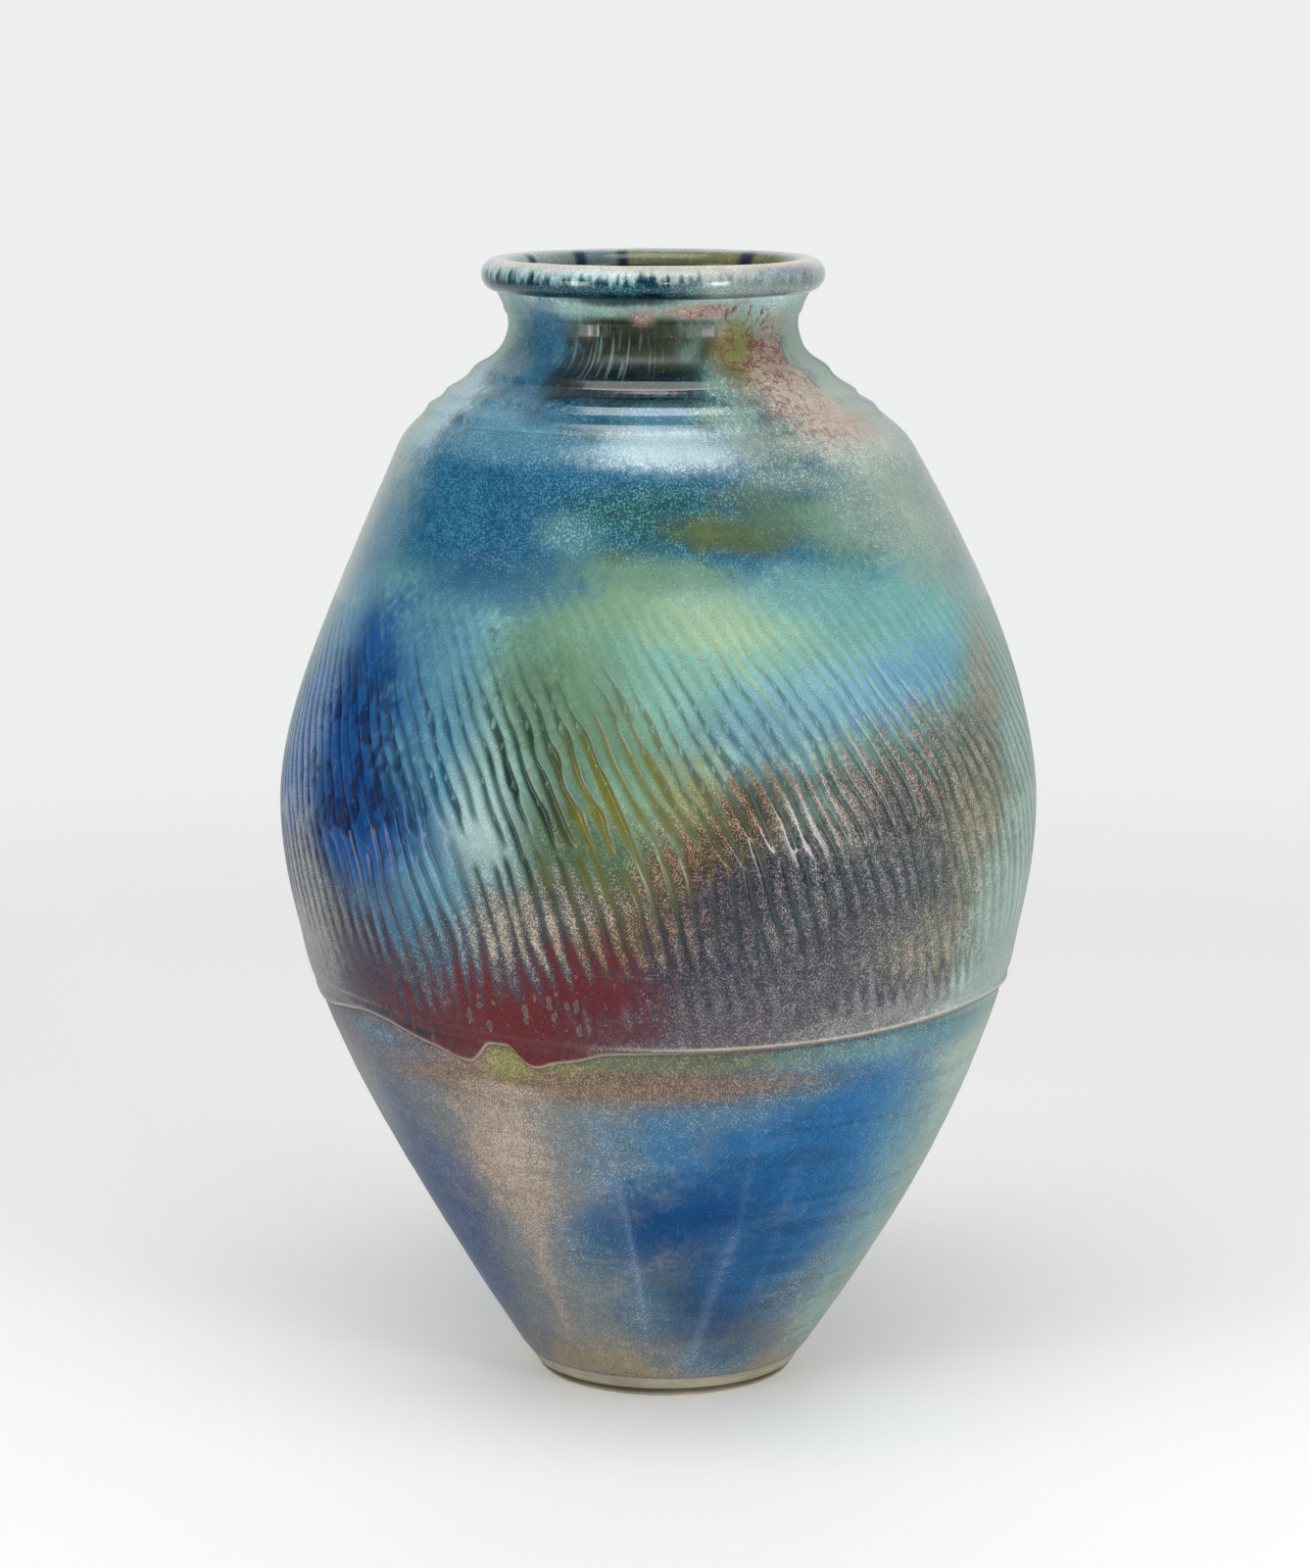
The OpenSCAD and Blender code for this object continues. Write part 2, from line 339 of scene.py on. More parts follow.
def belly_relief(angle, height):
    """Flutes with their ridges lifted a little, as the comb pushes the clay up."""
    return FLUTE_DEPTH * (0.18 * hump(height / MM, 190, 230, 290, 325) - fluting(angle, height))


def place_round(angle, radius, height, drift=True):
    """Points at a radius and a height, round the pot's wandering axis unless drift is off."""
    turn = np.radians(angle)
    x = radius * np.sin(turn) + drift * DRIFT_X(height / MM) * MM
    y = -radius * np.cos(turn) + drift * DRIFT_Y(height / MM) * MM
    return np.stack([x, y, height + 0 * x], -1)


def wall_point(angle, height, out=0.0):
    """Points of the vase's wall, standing out from the outer face by out."""
    round_off = 1 + OUT_OF_ROUND * np.cos(np.radians(2 * angle + 30))
    return place_round(angle, (OUTER(height) + out) * round_off, height)


def clay_relief(angle, height):
    """Everything the potter's hands and comb did to the smooth wall."""
    marks = throwing_marks(angle, height) + ridge_relief(angle, height)
    return in_flutes(belly_relief, angle, height) + marks


def lower_face(angle, height):
    """Outer face of the lower glaze. It dips under the upper glaze past that glaze's edge."""
    under = 0.9 * MM * smooth((height - DRIP_EDGE(angle) * MM) / MM, 0.2, 2.0)
    low = height - GLAZE_START
    bead = 0.35 * MM * bell(low, 1.7 * MM, 0.9 * MM)
    tuck = MM * (1 - smooth(low, 0, 1.1 * MM)) + 0.75 * MM * (1 - smooth(low, 1.5 * MM, 6 * MM))
    return wall_point(angle, height, clay_relief(angle, height) + bead - tuck - under)


def upper_face(angle, height):
    """Outer face of the upper glaze."""
    return wall_point(angle, height, clay_relief(angle, height) + upper_coat_relief(angle, height))


def roll_point(angle, turn, out=0.0):
    """Points of the rolled lip, turn degrees round its roll: 0 outermost, 90 at the crest."""
    wobble = 0.25 * MM * clouds(angle, 0.45, 40, 50 * MM, 61, 2)
    r = ROLL_R + out + 0.12 * MM * noise(angle, 0.45, 11, 30 * MM, 62)
    radius = ROLL_CENTRE + r * np.cos(np.radians(turn)) + wobble
    return place_round(angle, radius, ROLL_Z + r * np.sin(np.radians(turn)) - 0.12 * MM)


# ---------------------------------------------------------------- glazes and where they lie

def colour(text):
    """A colour written as six hex digits, as linear red, green and blue."""
    parts = np.array([int(text[i:i + 2], 16) / 255 for i in (0, 2, 4)])
    return np.where(parts <= 0.04045, parts / 12.92, ((parts + 0.055) / 1.055) ** 2.4)


# Each glaze: the colour of its melt, the colour of its crystals, and the share they cover
GLAZES = {
    # lower coat
    "khaki": ("7f7563", "a39a84", 0.35),
    "ash": ("6a7173", "959590", 0.30),
    "slate": ("565c68", "8b8d94", 0.30),
    "indigo": ("1c3a62", "7c86a0", 0.18),
    "umber_haze": ("5e4f43", "9c8672", 0.42),
    "peach": ("82766c", "b8a695", 0.50),
    "straw": ("747443", "a39d70", 0.42),
    "olive_band": ("5a6a52", "8c8a70", 0.32),
    "navy": ("003c6e", "3c6c94", 0.05),
    "royal": ("145888", "6890b4", 0.10),
    "azure": ("2e6c9e", "8eaac0", 0.20),
    "harbour": ("456a7e", "97a3a6", 0.26),
    "slate_blue": ("1a3f62", "4e6a84", 0.12),
    "frost": ("5f7896", "a6b0c0", 0.40),
    "lagoon": ("567f8c", "90aaa8", 0.25),
    "celadon": ("7d9690", "a9b8ac", 0.30),
    # upper coat
    "sky": ("4c7f95", "76a2b0", 0.20),
    "deep_blue": ("004680", "145a9c", 0.12),
    "ink_blue": ("002f6c", "184e86", 0.08),
    "steel": ("2c6080", "6c92a4", 0.20),
    "lilac": ("52709a", "93a0bc", 0.22),
    "mist": ("7a9d9b", "a6bdb4", 0.20),
    "teal": ("0c5274", "42849e", 0.40),
    "petrol": ("08454a", "4c8e90", 0.36),
    "sage": ("6b9074", "8cac88", 0.14),
    "pale_sage": ("8cab8e", "acc2a2", 0.20),
    "mint": ("709c90", "98bbab", 0.18),
    "aqua": ("6ca09f", "96bdb9", 0.22),
    "pale_blue": ("78a2b0", "9cc0c8", 0.18),
    "cornflower": ("5688a4", "88a8ba", 0.24),
    "olive": ("4a5a30", "7d8a58", 0.18),
    "moss": ("35523c", "6c8462", 0.16),
    "umber": ("3a3018", "a07f68", 0.32),
    "mauve": ("34463f", "b0968c", 0.34),
    "night": ("121226", "74646a", 0.30),
    "pewter": ("22323e", "948681", 0.31),
    "stone": ("546350", "ad9a8c", 0.40),
    "lilac_stone": ("62696c", "a09a98", 0.40),
    "dusk": ("403c46", "857d80", 0.34),
    "plum": ("20142c", "685464", 0.24),
    "crimson": ("520510", "7a2c32", 0.10),
    "rose": ("8a7468", "c2a496", 0.45),
    "pale_celadon": ("93a99c", "b5c3b4", 0.28),
    "sand": ("5a5f52", "b8a596", 0.42),
    "shell_mist": ("b2bbae", "d4dad0", 0.30),
    "sea_blue": ("4a849e", "78a8bc", 0.30),
    "grey_moss": ("4c6655", "748874", 0.22),
    # neck and lip
    "mist_blue": ("a4c3cd", "bcd4dc", 0.36),
    "cream_shell": ("b3a193", "cdbfb0", 0.45),
    "black_teal": ("001420", "1f5f6e", 0.20),
    "glass_olive": ("1a2606", "5c6c28", 0.14),
    "gold_olive": ("7a7840", "a8a470", 0.24),
    "sea_mist": ("7fa49c", "b4ccc0", 0.35),
    "shell": ("9f9083", "bdac9d", 0.42),
    "pearl": ("a7c2c8", "d9e5e6", 0.45),
    "ink_run": ("0c1c44", "2b3f7a", 0.20),
    "ivory": ("d2c8b0", "ece6d6", 0.50),
    "breaking_teal": ("04303e", "2f7c88", 0.32),
}

# Glaze at each height all round the vase, in mm
BANDS = [
    (0, "khaki"), (20, "khaki"), (38, "ash"), (130, "ash"), (152, "umber_haze"), (168, "dusk"),
    (200, "pewter"), (228, "mauve"), (250, "stone"), (272, "mist"), (300, "mint"), (330, "aqua"),
    (352, "teal"), (385, "teal"), (400, "petrol"), (424, "petrol"), (440, "sea_mist"), (452, "pearl"),
]

# Patches laid over the bands, in order: glaze, angle, height in mm, half spans in degrees and
# mm, height gained for each degree to the right, and strength
LOWER_PATCHES = [
    ("slate", -48, 100, 16, 76, 0, 0.9),
    ("indigo", -65, 78, 20, 64, 0, 1),
    ("ash", -69, 132, 9, 28, 0, 0.75),
    ("ash", -18, 122, 18, 34, 0, 0.8),
    ("ash", -44, 130, 8, 18, 0, 0.5),
    ("harbour", -2, 122, 14, 22, 0.3, 0.85),
    ("azure", 36, 128, 28, 34, 0, 1),
    ("royal", 30, 108, 30, 50, 0, 1),
    ("navy", 7, 92, 17, 18, 0.35, 1),
    ("navy", -9, 82, 18, 16, 0.25, 1),
    ("royal", 22, 70, 15, 16, 0, 0.7),
    ("slate_blue", 12, 50, 22, 28, 0, 0.95),
    ("royal", 22, 60, 12, 20, 0.2, 0.5),
    ("harbour", 38, 52, 14, 20, 0, 0.6),
    ("harbour", -6, 42, 8, 14, 0, 0.5),
    ("harbour", 18, 18, 20, 10, 0, 0.8),
    ("lagoon", 57, 96, 14, 76, 0, 0.9),
    ("celadon", 74, 100, 17, 84, 0, 0.95),
    ("celadon", 62, 34, 18, 18, 0, 0.8),
    ("royal", 25, 68, 14, 13, 0.2, 0.7),
    ("slate_blue", 22, 24, 20, 10, 0, 0.35),
    ("harbour", 12, 138, 13, 8, 0.2, 0.6),
    ("harbour", 20, 149, 15, 7, 0.1, 0.85),
    ("harbour", -20, 72, 12, 20, 0, 0.5),
    ("navy", 24, 76, 9, 20, 0, 0.4),
    ("peach", -31, 118, 10, 46, 0, 0.8),
    ("ash", -34, 52, 12, 26, 0, 0.7),
    ("umber_haze", -22, 151, 28, 8, 0.1, 0.95),
    ("umber_haze", 8, 150, 19, 7, 0.1, 0.8),
    ("peach", -29, 146, 9, 3.5, 0, 0.7),
    ("slate", -58, 156, 14, 8, 0, 0.8),
    ("harbour", -54, 160, 8, 4, 0, 0.6),
    ("straw", -25.5, 159, 5, 7, 0, 1),
    ("straw", -26, 153, 4, 5, 0, 0.5),
    ("straw", -14, 158, 5, 3, 0.3, 0.6),
    ("olive_band", -6, 162, 10, 3, 0.1, 0.8),
    ("olive_band", 24, 161, 34, 4, 0.05, 0.8),
    ("pale_celadon", 66, 150, 12, 28, 0, 0.8),
    ("lagoon", 50, 160, 26, 7, 0, 0.9),
]
# Narrow runs of crystals down the lower coat: glaze, angle and height in mm at the top, the
# same at the bottom, half width in degrees, and strength. They are drawn at each of the turns.
STREAK_TURNS = (0, 186)
STREAKS = [
    ("peach", -31, 146, -33, 20, 2.6, 0.55),
    ("peach", -27, 140, -30, 60, 1.6, 0.35),
    ("frost", -10.8, 146, -5.6, 18, 0.8, 0.42),
    ("frost", -12.5, 146, -8.5, 40, 1.4, 0.16),
    ("frost", 15.5, 88, 8.5, 14, 1.9, 0.30),
    ("frost", 17, 150, 15.5, 80, 0.9, 0.14),
    ("frost", 26, 120, 24, 40, 1.2, 0.12),
]
UPPER_PATCHES = [
    # left of the belly: blues
    ("steel", -44, 262, 18, 60, -0.3, 0.95),
    ("sky", -44, 318, 16, 20, 0, 0.9),
    ("sky", -33, 268, 9, 42, -0.8, 0.7),
    # Painted highlight: this pale patch lies where the left softbox's reflection falls, slanting along the
    # flutes.
    ("mist", -25, 258, 7, 30, -0.8, 0.9),
    ("deep_blue", -56, 284, 14, 50, -0.5, 1),
    ("deep_blue", -57, 318, 7, 14, 0, 0.75),
    ("ink_blue", -50, 246, 16, 28, -0.4, 1),
    ("sky", -43, 274, 4, 12, -0.5, 0.55),
    ("deep_blue", -46, 258, 6, 16, 0, 0.35),
    ("deep_blue", -51, 238, 11, 16, -0.3, 0.9),
    ("lilac", -73, 270, 10, 70, 0, 0.95),
    ("sky", -34, 226, 8, 12, -0.4, 0.7),
    # greens of the middle
    ("sage", -14, 300, 13, 36, -0.5, 0.95),
    ("moss", -16, 262, 7, 30, -0.5, 0.55),
    ("sage", -3, 276, 8, 24, -0.6, 0.8),
    ("moss", -22, 308, 6, 24, -0.5, 0.55),
    ("moss", -8, 290, 12, 28, -0.5, 0.5),
    ("moss", -12, 324, 12, 14, 0, 0.3),
    ("olive", -6, 242, 8, 12, 0, 0.45),
    ("moss", -8, 244, 10, 12, -0.3, 0.4),
    ("mint", 6, 298, 10, 20, -0.3, 0.9),
    ("lagoon", 15, 291, 10, 15, 0.2, 0.9),
    ("pale_blue", 22, 304, 10, 12, 0.3, 0.6),
    ("pale_blue", 32, 302, 16, 12, 0.5, 0.85),
    ("lagoon", 19, 294, 9, 12, 0.3, 0.6),
    ("cornflower", 42, 304, 15, 12, 0.5, 0.75),
    ("cornflower", 50, 312, 8, 14, 0.5, 0.7),
    ("mint", 14, 318, 20, 12, 0.2, 0.8),
    # speckled clay colours across the lower belly
    ("mauve", 38, 262, 34, 26, 0.6, 1),
    ("umber", 6, 240, 10, 18, 0.9, 0.95),
    ("umber", 12, 262, 9, 11, 0.9, 0.7),
    ("gold_olive", 4, 268, 5, 14, 0.5, 0.5),
    ("night", 15, 230, 10, 18, 0.5, 0.95),
    ("pewter", 32, 226, 18, 24, 0.3, 0.9),
    ("night", 8, 222, 10, 14, 0.5, 0.45),
    ("night", 24, 212, 9, 9, 0.4, 0.35),
    ("night", 36, 256, 7, 9, 0.5, 0.3),
    ("stone", 58, 250, 11, 36, 0, 0.75),
    ("stone", 50, 202, 16, 14, 0.2, 0.85),
    ("lilac_stone", 44, 173, 24, 10, 0.1, 0.9),
    ("celadon", 62, 176, 12, 14, 0, 0.8),
    ("shell_mist", 58, 167, 14, 8, 0, 0.4),
    ("sand", -20, 216, 12, 12, -0.1, 0.75),
    ("steel", -44, 214, 8, 12, -0.5, 0.6),
    ("plum", -52, 186, 14, 20, -0.3, 0.95),
    ("lilac_stone", -69, 208, 11, 36, 0, 0.9),
    ("umber", -6, 212, 10, 10, 0.3, 0.7),
    ("night", 6, 198, 10, 12, 0.3, 0.6),
    ("celadon", 68, 200, 14, 44, 0, 0.9),
    ("celadon", 78, 270, 13, 80, 0, 0.95),
    ("rose", 64, 306, 6, 24, 0.3, 0.5),
    # red pool above the join
    ("plum", -44, 174, 12, 9, -0.2, 0.9),
    ("crimson", -22, 176, 16, 20, 0.3, 1),
    ("crimson", -36, 168, 11, 9, -0.2, 1),
    ("crimson", -10, 189, 8, 15, 1.1, 0.9),
    ("crimson", -3, 178, 7, 7, 0.6, 0.45),
    ("crimson", -44, 171.5, 7, 5, -0.5, 0.6),
    ("crimson", -22, 160, 12, 8, 0, 1),
    # pale band round the top of the belly
    ("sage", -11, 342, 16, 14, 0, 1),
    ("pale_sage", 10, 330, 15, 13, -0.2, 1),
    ("sage", 4, 348, 10, 7, -0.2, 0.7),
    ("aqua", 28, 338, 14, 12, 0, 0.7),
    ("aqua", 52, 336, 16, 22, 0, 0.9),
    ("sage", -10, 328, 14, 9, 0, 0.4),
    ("olive", -9, 354, 4, 4, 0, 0.45),
    # shoulder
    ("teal", -34, 362, 22, 26, 0, 1),
    ("steel", -30, 342, 14, 12, 0, 0.7),
    ("petrol", -2, 368, 16, 12, -0.2, 1),
    ("aqua", -17, 360, 7, 8, -0.3, 0.4),
    ("celadon", 30, 380, 14, 7, 0, 0.6),
    ("petrol", 12, 374, 12, 8, -0.2, 0.45),
    ("petrol", 0, 360, 14, 8, 0, 0.4),
    ("olive", 14, 361, 12, 7, -0.1, 1),
    ("grey_moss", 24, 367, 13, 11, 0, 0.9),
    ("sage", 38, 362, 12, 14, 0, 0.7),
    ("celadon", 46, 372, 12, 22, 0, 0.8),
    ("pale_celadon", 62, 366, 16, 30, 0, 1),
    ("celadon", 84, 374, 20, 36, 0, 0.95),
    ("sky", -68, 366, 12, 44, 0, 0.9),
    ("celadon", -86, 340, 13, 80, 0, 0.7),
    # Partly painted sheen: the pale blue glaze here is lightened where the overhead light's sheen falls
    # across the shoulder.
    ("mist_blue", 4, 392, 20, 8, 0, 1),
    ("celadon", 28, 392, 12, 10, 0, 0.8),
    ("shell_mist", 42, 392, 14, 7, 0, 0.6),
    ("shell_mist", 60, 390, 18, 10, 0, 0.95),
    ("sea_blue", -34, 393, 22, 8, 0, 0.8),
    # neck
    ("teal", -42, 418, 18, 18, 0, 0.95),
    ("sea_blue", -40, 401, 16, 9, 0, 0.95),
    ("black_teal", -20, 418, 15, 14, 0, 1),
    ("petrol", 8, 409, 14, 8, 0, 0.8),
    ("black_teal", -6, 416, 26, 11, 0, 1),
    ("teal", -22, 403.5, 16, 5, 0, 0.9),
    ("sea_blue", 2, 403, 13, 4.5, 0, 0.8),
    ("glass_olive", 4, 430, 26, 10, 0, 1),
    ("sea_mist", 13, 431, 6, 7, 0, 0.7),
    ("sea_mist", 25, 414, 8, 10, 0, 0.6),
    ("sea_mist", 20, 403, 10, 5, 0, 0.7),
    ("gold_olive", 34, 426, 12, 14, 0, 0.95),
    ("cream_shell", 47, 411, 15, 16, 0.1, 0.85),
    ("shell", 55, 434, 10, 9, 0, 0.45),
    ("shell_mist", 71, 409, 10, 14, 0, 0.85),
    ("cream_shell", 62, 401, 20, 9, 0.1, 0.95),
    ("rose", 48, 424, 7, 14, 0, 0.5),
    ("pale_celadon", 72, 420, 14, 26, 0, 0.95),
    ("lagoon", -58, 426, 12, 26, 0, 0.7),
    ("teal", -44, 434, 14, 12, 0, 0.9),
    ("sea_mist", -82, 420, 17, 40, 0, 0.9),
    ("mist_blue", -70, 404, 14, 20, 0, 0.8),
    ("black_teal", -26, 433, 12, 7, 0, 0.8),
    ("glass_olive", -6, 433, 26, 9, 0, 1),
    ("sea_mist", -12, 442.5, 34, 2.6, 0, 0.7),
    ("rose", 18, 442, 16, 3.5, 0, 0.8),
    ("rose", -4, 440, 5, 4.5, 0, 0.7),
    ("black_teal", -12, 446.5, 22, 2.5, 0, 0.9),
]

# Colour that pools in the grooves: colour, angle, height in mm, half spans and strength
POOLS = [
    ("001f4e", -54, 270, 22, 60, 0.9),
    ("174a6a", -36, 272, 10, 46, 0.9),
    ("1c3a34", -21, 258, 10, 40, 0.95),
    ("6f6a1c", -5, 262, 12, 40, 0.95),
    ("6a6420", 5, 256, 8, 28, 0.9),
    ("5c5a20", -12, 236, 9, 14, 0.8),
    ("3f6a74", 14, 300, 14, 26, 0.7),
    ("2e5c86", 40, 306, 20, 14, 0.7),
    ("3a4f45", 34, 246, 36, 44, 0.85),
    ("3a4a34", 62, 240, 16, 60, 0.8),
    ("36404a", -42, 212, 40, 22, 0.75),
    ("500810", -10, 198, 18, 14, 0.9),
]


def patch_mask(angle, z, at, height, half_angle, half_height, gain=0, ragged=0, core=0.4):
    """1 inside a patch's core, 0 outside it, with a ragged soft edge between."""
    across = wrapped(angle - at)
    up = z - height - gain * across
    away = np.sqrt((across / half_angle) ** 2 + (up / half_height) ** 2) + ragged
    return 1 - smooth(away, core, 1.75 - core)


def both_sides(angle, z, at, *shape):
    """A patch, and the same patch again half way round."""
    return np.maximum(patch_mask(angle, z, at, *shape), patch_mask(angle, z, at + 180, *shape))


def patch_sum(angle, z, *patches):
    """The sum of patches, each written as its strength, its place and its shape."""
    return sum(strength * patch_mask(angle, z, *shape) for strength, *shape in patches)


def sides(patches):
    """The patches as listed for the front, and again, turned and shifted, for the back."""
    yield from patches
    draw = np.random.default_rng(7)
    for glaze, at, height, half_angle, half_height, gain, strength in patches:
        turn = 180 + at + draw.uniform(-9, 9)
        rise = draw.uniform(-7, 7)
        wide = half_angle * draw.uniform(0.8, 1.25)
        yield (glaze, turn, height + rise, wide, half_height, gain, strength)


def streak_mask(angle, z, at_top, top, at_bottom, bottom, half_width):
    """1 along the middle of a narrow run down the vase, fading to its sides and its ends."""
    share = (top - z) / (top - bottom)
    across = wrapped(angle - at_top - (at_bottom - at_top) * share)
    return bell(across, 0, half_width) * hump(share, 0, 0.12, 0.85, 1.05)


def towards(values, text, share):
    """Colours turned towards another colour, by a share at each place."""
    return values + (colour(text) - values) * share[..., None]


class Paint:
    """Glaze at each place: the colours of its melt and its crystals, and the shares of its marks."""

    def __init__(self, melt, fleck, cover):
        self.melt = melt
        self.fleck = fleck
        self.cover = cover
        self.vein = 0 * cover
        self.spots = 0 * cover
        self.glass = 0 * cover

    def tint(self, mask, melt, melt_share, fleck=None, fleck_share=0.0):
        """Turns the melt, and the crystals if they are asked for, towards a colour."""
        self.melt = towards(self.melt, melt, melt_share * mask)
        if fleck:
            self.fleck = towards(self.fleck, fleck, fleck_share * mask)

    def blend(self, name, mask, fleck_mask=None):
        """Turns the glaze towards another one, whose crystals may have a mask of their own."""
        melt, fleck, cover = GLAZES[name]
        self.melt = towards(self.melt, melt, mask)
        self.fleck = towards(self.fleck, fleck, mask if fleck_mask is None else fleck_mask)
        self.cover = self.cover + (cover - self.cover) * mask


def even_paint(name, angle):
    """One glaze everywhere."""
    melt, fleck, cover = GLAZES[name]
    everywhere = 0 * angle[..., None]
    return Paint(colour(melt) + everywhere, colour(fleck) + everywhere, cover + 0 * angle)


# How far a wall without flutes counts as a groove
NO_FINGER = 0.35


def lay_glaze(angle, height, patches, core=0.4, finger=NO_FINGER):
    """Glaze in bands up the vase, with patches laid over them in order."""
    z = height / MM
    # In a groove the glaze from above runs down, and low on the belly the red creeps up it
    run = 15 * hump(z, 225, 246, 312, 332) - 19 * hump(z, 172, 184, 212, 226)
    z = z + run * (finger - NO_FINGER)
    at = z + 6 * clouds(angle, height, 22, 30 * MM, 71)
    levels, names = zip(*BANDS)
    melts, flecks, covers = zip(*(GLAZES[name] for name in names))

    def between(texts):
        """A colour for each place, from the colours of the bands below and above it."""
        channels = np.transpose([colour(text) for text in texts])
        return np.stack([np.interp(at, levels, channel) for channel in channels], -1)

    paint = Paint(between(melts), between(flecks), np.interp(at, levels, covers))
    drift = 1.2 * clouds(angle, height, 16, 18 * MM, 74)
    rough = 0.20 * clouds(angle, height, 7, 9 * MM, 77, 4) + 0.16 * noise(angle, height, 0.62, 1.6 * MM, 81)
    for name, place, level, half_angle, half_height, gain, strength in sides(patches):
        shape = (half_angle, half_height, gain, rough, core)
        mask = strength * patch_mask(angle + drift, z, place, level, *shape)
        paint.blend(name, mask, smooth(mask, 0, 0.6))
    return paint


def teal_mottle(angle, height):
    """Where the crystals are coarse: round the shoulder and the neck."""
    z = height / MM
    shown = smooth(clouds(angle, height, 30, 40 * MM, 101, 2), -0.9, -0.1)
    return smooth(z, 336, 352) * (1 - 0.7 * smooth(z, 408, 420)) * shown


def dark_specks(angle, height):
    """Where blue-black specks lie in the glaze just above its lower edge."""
    z = height / MM
    inside = smooth(z - DRIP_EDGE(angle), 1.2, 3.0)
    front = patch_mask(angle, z, -43, 170, 10, 6, -0.45)
    return inside * np.maximum(front, patch_mask(angle, z, 150, 164, 14, 7))


def groove_cut(angle, height):
    """How deep the flutes cut at a place, and 0 where there are none."""
    return np.clip(in_flutes(fluting, angle, height), 0, 1.2)


def pool_grooves(paint, angle, height, cut):
    """Darker glass lies in the grooves, and the glaze breaks paler over the ridges."""
    z = height / MM
    pool = paint.melt * 0.42
    for text, place, level, half_angle, half_height, strength in POOLS:
        mask = strength * both_sides(angle, z, place, level, half_angle, half_height)
        pool = towards(pool, text, mask)
    share = smooth(cut, 0.12, 0.85)
    wide = both_sides(angle, z, -13, 258, 15, 44, -0.6)
    share = share + (smooth(cut, 0.04, 0.42) - share) * wide
    crest = smooth(1 - fingers(angle, height), 0.45, 0.95)
    ridge = (crest * hump(z, 186, 210, 322, 345))[..., None]
    paint.melt = paint.melt * (1 + 0.22 * ridge)
    paint.fleck = paint.fleck * (1 + 0.10 * ridge)
    paint.cover = paint.cover + hump(z, 186, 205, 270, 300) * (0.10 * crest - 0.03 - 0.24 * share)
    share = (share * (1 - 0.45 * hump(wrapped(angle), 4, 24, 150, 175)))[..., None]
    paint.melt = paint.melt + (pool - paint.melt) * 0.9 * share
    paint.fleck = paint.fleck + (pool * 1.6 - paint.fleck) * 0.6 * share


# ---------------------------------------------------------------- meshes

def mesh_from_grid(name, points, normals=None, closed_rows=False, poles=(False, False)):
    """A mesh from rows of points that each close on themselves. Poles shrink an end row to a point."""
    rows, columns = points.shape[:2]
    places = points.reshape(-1, 3)
    column = np.arange(columns)
    beside = (column + 1) % columns
    row = np.arange(rows if closed_rows else rows - 1)[:, None] * columns
    above = (row + columns) % (rows * columns)
    quads = np.stack([row + column, row + beside, above + beside, above + column], -1)
    faces = [quads.reshape(-1, 4)]
    for pole, end in zip(poles, (0, rows - 1)):
        if pole:
            first = end * columns
            places = np.vstack([places, places[first:first + columns].mean(0)])
            tip = np.full(columns, len(places) - 1)
            fan = [tip, first + beside, first + column] if end == 0 else [tip, first + column, first + beside]
            faces.append(np.stack(fan, -1))
    corners = np.concatenate([f.reshape(-1) for f in faces])
    sizes = np.concatenate([np.full(len(f), f.shape[1]) for f in faces])
    mesh = bpy.data.meshes.new(name)
    mesh.vertices.add(len(places))
    mesh.vertices.foreach_set("co", places.astype(np.float32).ravel())
    mesh.loops.add(len(corners))
    mesh.loops.foreach_set("vertex_index", corners.astype(np.int32))
    mesh.polygons.add(len(sizes))
    mesh.polygons.foreach_set("loop_start", (np.cumsum(sizes) - sizes).astype(np.int32))
    mesh.polygons.foreach_set("loop_total", sizes.astype(np.int32))
    mesh.polygons.foreach_set("use_smooth", np.ones(len(sizes), bool))
    mesh.update(calc_edges=True)
    mesh.validate()
    if normals is not None:
        mesh.normals_split_custom_set_from_vertices(normals.reshape(-1, 3).astype(np.float32))
    piece = bpy.data.objects.new(name, mesh)
    bpy.context.scene.collection.objects.link(piece)
    return piece


def add_colours(piece, name, rgb, alpha):
    """Stores a colour and one more value at each corner point of a piece."""
    data = np.concatenate([rgb, np.asarray(alpha)[..., None]], -1).reshape(-1, 4)
    attribute = piece.data.attributes.new(name, "FLOAT_COLOR", "POINT")
    values = np.zeros((len(piece.data.vertices), 4), np.float32)
    values[:len(data)] = data
    values[len(data):] = data[-1]
    attribute.data.foreach_set("color", values.ravel())


# Small step round the vase, in degrees
ANGLE_STEP = 0.03


def face_normals(face, angle, level, step):
    """Outward directions of a surface given as face(angle, level), from small steps each way."""
    around = face(angle + ANGLE_STEP, level) - face(angle - ANGLE_STEP, level)
    up = face(angle, level + step) - face(angle, level - step)
    normal = np.cross(around, up)
    return normal / np.linalg.norm(normal, axis=-1, keepdims=True)


def store_paint(piece, paint, mottled, specks, rows=slice(None)):
    """Stores the colours and marks of a piece's rows, for its material to read."""
    marks = np.stack([paint.spots, paint.glass, mottled], -1)
    add_colours(piece, "melt", paint.melt[rows], paint.cover[rows])
    add_colours(piece, "crystal", paint.fleck[rows], paint.vein[rows])
    add_colours(piece, "marks", marks[rows], specks[rows])


def even_angles(levels):
    """Angles that divide each row of levels evenly all round."""
    return np.broadcast_to(np.linspace(-180, 180, levels.shape[1], endpoint=False), levels.shape)


